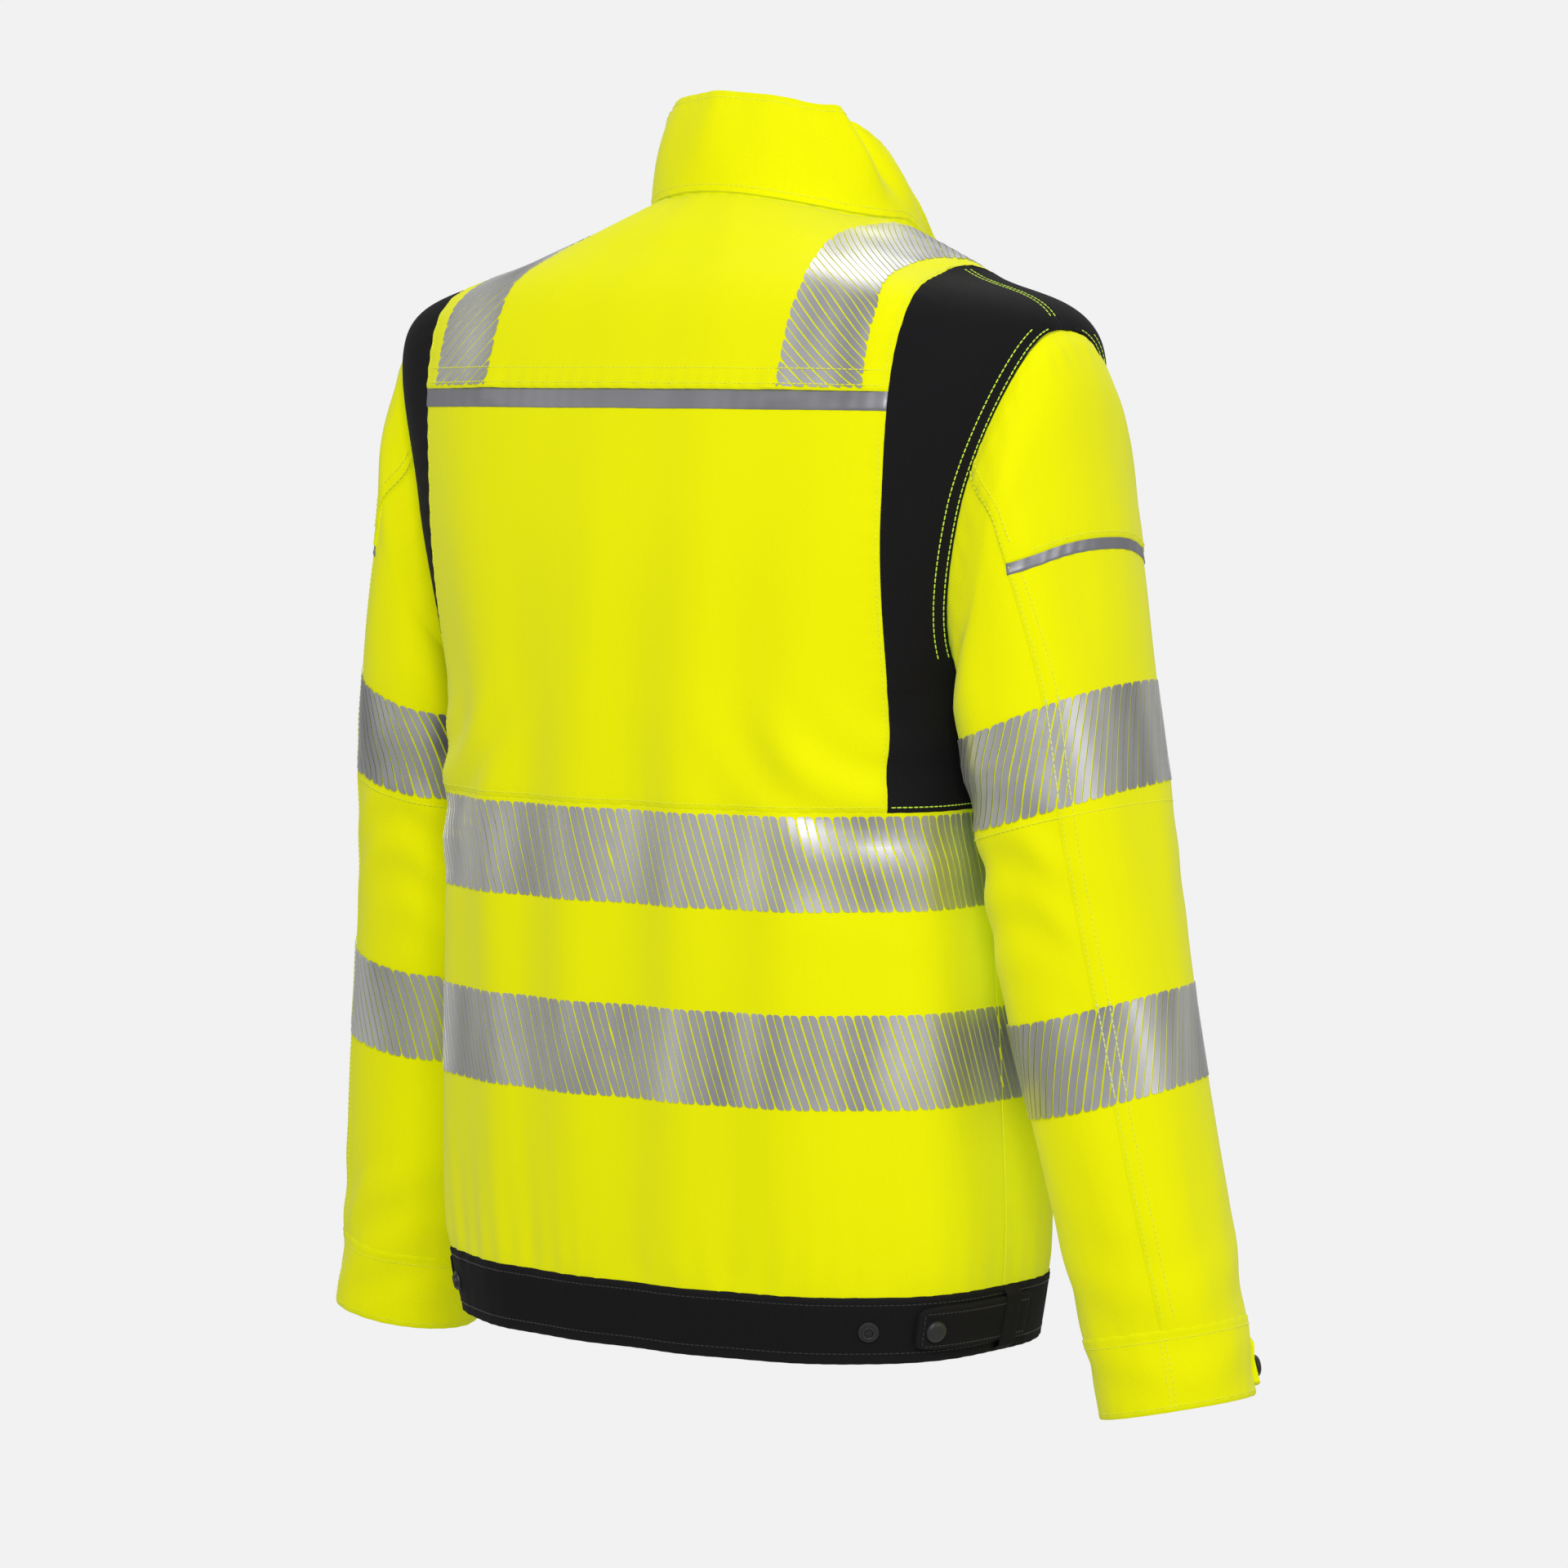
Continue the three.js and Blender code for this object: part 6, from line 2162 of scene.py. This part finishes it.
@dataclass
class Strip(Surface):
    """A strip that runs down a line of y and z, in millimetres. a is x in metres."""

    line: tuple[tuple[float, float], ...]
    step: float = 0.001

    def __post_init__(self) -> None:
        """Makes the table of the line."""
        self.table = np.array(self.line) * MM

    def point(self, a: Array, t: Array) -> Array:
        """Point of the strip."""
        a, t = np.broadcast_arrays(np.asarray(a, float), np.asarray(t, float))
        place = spline(self.table, t)
        return np.stack([a, place[..., 0], place[..., 1]], axis=-1)


# ---------------------------------------------------------------- zip


@dataclass
class Zip:
    """Moulded zip: tapes, teeth, slider and puller."""

    top: float = node_head("zip_tape_left")
    bottom: float = node_foot("zip_tape_left")
    chain_y: float = node_middle("zip_chain")[1]
    tape_y: float = -110.6 * MM
    pitch: float = 2.6 * MM

    def build(self) -> None:
        """Makes the zip."""
        for side, sign in SIDES.items():
            strip = Strip(((self.tape_y / MM, self.bottom / MM), (self.tape_y / MM, self.top / MM)))
            edges = sorted((sign * 1.2 * MM, sign * 19.5 * MM))
            a = np.linspace(edges[0], edges[1], 12)[None, :]
            tape = Panel(strip, a, np.linspace(0, 1, 120)[:, None], 0.0, thickness=0.8 * MM, pucker=0.00005)
            tape.build(f"zip_tape_cloth_{side}", BLACK, Ride(), (f"zip_tape_{side}",))
        self._teeth()
        self._slider()

    def _teeth(self) -> None:
        """Every tooth: one modelled, copied down both sides."""
        tooth = Block((1.1 * MM, self.chain_y, 0), (3.4 * MM, 3.2 * MM, 1.5 * MM), 0.35 * MM, 1).make()
        corners = np.array([v.co for v in tooth.data.vertices])
        faces = [list(face.vertices) for face in tooth.data.polygons]
        bpy.data.objects.remove(tooth)
        count = int((self.top - self.bottom) / self.pitch)
        blocks, every = [], []
        for k in range(count * 2):
            sign = 1 if k % 2 else -1
            height = self.bottom + (k + 0.7) * self.pitch / 2
            blocks.append(corners * np.array([sign, 1, 1]) + np.array([0, 0, height]))
            turned = faces if sign > 0 else [face[::-1] for face in faces]
            every += [[c + k * len(corners) for c in face] for face in turned]
        make_piece("zip_teeth", np.array(blocks), every, TOOTH, Ride(), ("zip_chain",))

    def _slider(self) -> None:
        """Slider over the teeth, with its bridge, and the puller on it."""
        z = -98 * MM
        face = self.chain_y - 3.6 * MM
        blocks = [
            Block((0, face, z), (11.6 * MM, 1.2 * MM, 23.5 * MM), 0.55 * MM),
            Block((5.2 * MM, face + 1.9 * MM, z), (1.2 * MM, 3.6 * MM, 22 * MM), 0.5 * MM),
            Block((-5.2 * MM, face + 1.9 * MM, z), (1.2 * MM, 3.6 * MM, 22 * MM), 0.5 * MM),
            Block((0, face - 1.0 * MM, z + 3 * MM), (2.6 * MM, 1.4 * MM, 14 * MM), 0.6 * MM),
        ]
        ride = Ride("zip_slider_body")
        join_blocks("zip_slider_metal", [block.make() for block in blocks], NICKEL, ride, ("zip_slider",))
        y = -119 * MM
        blocks = [
            Block((0, y, -112 * MM), (8 * MM, 2 * MM, 32 * MM), 0.9 * MM),
            Block((3.1 * MM, y, -93 * MM), (1.8 * MM, 1.9 * MM, 9 * MM), 0.8 * MM),
            Block((-3.1 * MM, y, -93 * MM), (1.8 * MM, 1.9 * MM, 9 * MM), 0.8 * MM),
            Block((0, y, -90.6 * MM), (7.6 * MM, 1.9 * MM, 2.4 * MM), 0.8 * MM),
        ]
        ride = Ride("zip_puller_body")
        join_blocks("zip_puller_tag", [block.make() for block in blocks], TOOTH, ride, ("zip_puller",))


# ---------------------------------------------------------------- studio


@dataclass(frozen=True)
class Light:
    """A soft square light, placed by its direction from the jacket."""

    name: str
    azimuth: float
    elevation: float
    size: float
    power: float
    distance: float = 3.2

    def build(self, target: Vector) -> None:
        """Makes the light and points it at the target."""
        lamp = bpy.data.lights.new(self.name, "AREA")
        lamp.shape, lamp.size, lamp.energy = "SQUARE", self.size, self.power
        thing = bpy.data.objects.new(self.name, lamp)
        bpy.context.scene.collection.objects.link(thing)
        toward = direction(self.azimuth, self.elevation)
        thing.location = target + toward * self.distance
        thing.rotation_euler = toward.to_track_quat("Z", "Y").to_euler()


def direction(azimuth: float, elevation: float) -> Vector:
    """Unit direction from the jacket: azimuth 0 is in front, 90 on the wearer's left."""
    a, e = math.radians(azimuth), math.radians(elevation)
    return Vector((math.sin(a) * math.cos(e), -math.cos(a) * math.cos(e), math.sin(e)))


@dataclass
class Studio:
    """Pale floor, pale surroundings, soft lights and the camera."""

    target: Vector = field(default_factory=lambda: Vector((-0.0158, -0.0123, -0.309)))
    azimuth: float = 218.0
    elevation: float = 4.2
    distance: float = 3.3
    lens: float = 139.0
    backdrop: float = 0.887
    soft_strength: float = 0.43
    floor_z: float = -1.5
    lights: tuple[Light, ...] = (
        Light("key", 217, 30, 1.2, 53),
        Light("side", 275, 14, 1.0, 11),
        Light("fill", 140, 10, 2.0, 5),
        Light("rim", 30, 60, 2.0, 26),
    )

    def build(self) -> None:
        """Makes the studio."""
        self._camera()
        self._world()
        self._floor()
        for light in self.lights:
            light.build(self.target)
        scene = bpy.context.scene
        scene.view_settings.view_transform = "Standard"
        scene.view_settings.look = "None"

    def _camera(self) -> None:
        """Camera at the catalogue angle."""
        lens = bpy.data.cameras.new("camera")
        lens.lens, lens.sensor_width, lens.sensor_fit = self.lens, 36, "HORIZONTAL"
        lens.dof.use_dof = False
        camera = bpy.data.objects.new("camera", lens)
        bpy.context.scene.collection.objects.link(camera)
        toward = direction(self.azimuth, self.elevation)
        camera.location = self.target + toward * self.distance
        camera.rotation_euler = toward.to_track_quat("Z", "Y").to_euler()
        bpy.context.scene.camera = camera

    def _world(self) -> None:
        """Pale surroundings: flat behind the jacket, and an even, dimmer white for its light."""
        world = bpy.data.worlds.new("surroundings")
        bpy.context.scene.world = world
        world.use_nodes = True
        tree = world.node_tree
        back = tree.nodes["Background"]
        back.inputs["Color"].default_value = (self.backdrop, self.backdrop, self.backdrop, 1)
        soft = tree.nodes.new("ShaderNodeBackground")
        soft.inputs["Color"].default_value = (1, 1, 1, 1)
        soft.inputs["Strength"].default_value = self.soft_strength
        path = tree.nodes.new("ShaderNodeLightPath")
        mix = tree.nodes.new("ShaderNodeMixShader")
        tree.links.new(path.outputs["Is Camera Ray"], mix.inputs[0])
        tree.links.new(soft.outputs[0], mix.inputs[1])
        tree.links.new(back.outputs[0], mix.inputs[2])
        tree.links.new(mix.outputs[0], tree.nodes["World Output"].inputs["Surface"])

    def _floor(self) -> None:
        """Round pale floor that fades out at its edge."""
        bpy.ops.object.select_all(action="DESELECT")
        bpy.ops.mesh.primitive_circle_add(vertices=96, radius=1.6, fill_type="NGON")
        floor = bpy.context.object
        floor.name = floor.data.name = "floor"
        floor.data.transform(Matrix.Translation((0, 0, self.floor_z)))
        shader = Shader("floor_paper")
        place = shader.placed(shader.object_place(), (0.625, 0.625, 0))
        fade = shader.node("ShaderNodeTexGradient", {"gradient_type": "SPHERICAL"}, {"Vector": place})
        tooth = shader.noise(shader.object_place(), 60.0)
        colour = shader.blend(tooth, (0.80, 0.80, 0.80, 1), (0.84, 0.84, 0.84, 1))
        looks = {"Base Color": colour, "Roughness": 0.9, "Alpha": fade.power(1.5)}
        floor.data.materials.append(shader.finish(looks))


# ---------------------------------------------------------------- all together


def main() -> None:
    """Builds the jacket, part by part."""
    logging.basicConfig(level=logging.INFO, format="%(name)s: %(message)s")
    torso = Torso()
    cloth = BodyCloth(torso)
    cloth.build()
    BodyStitching(cloth).build()
    BodyTapes(cloth).build()
    sleeves = {side: SleeveCloth(side, Sleeve(torso, sign)) for side, sign in SIDES.items()}
    for sleeve in sleeves.values():
        sleeve.build()
    Adjusters(torso, sleeves).build()
    ChestPockets(torso).build()
    Neck(torso, Collar(torso)).build()
    Zip().build()
    Studio().build()


if __name__ == "__main__":
    main()
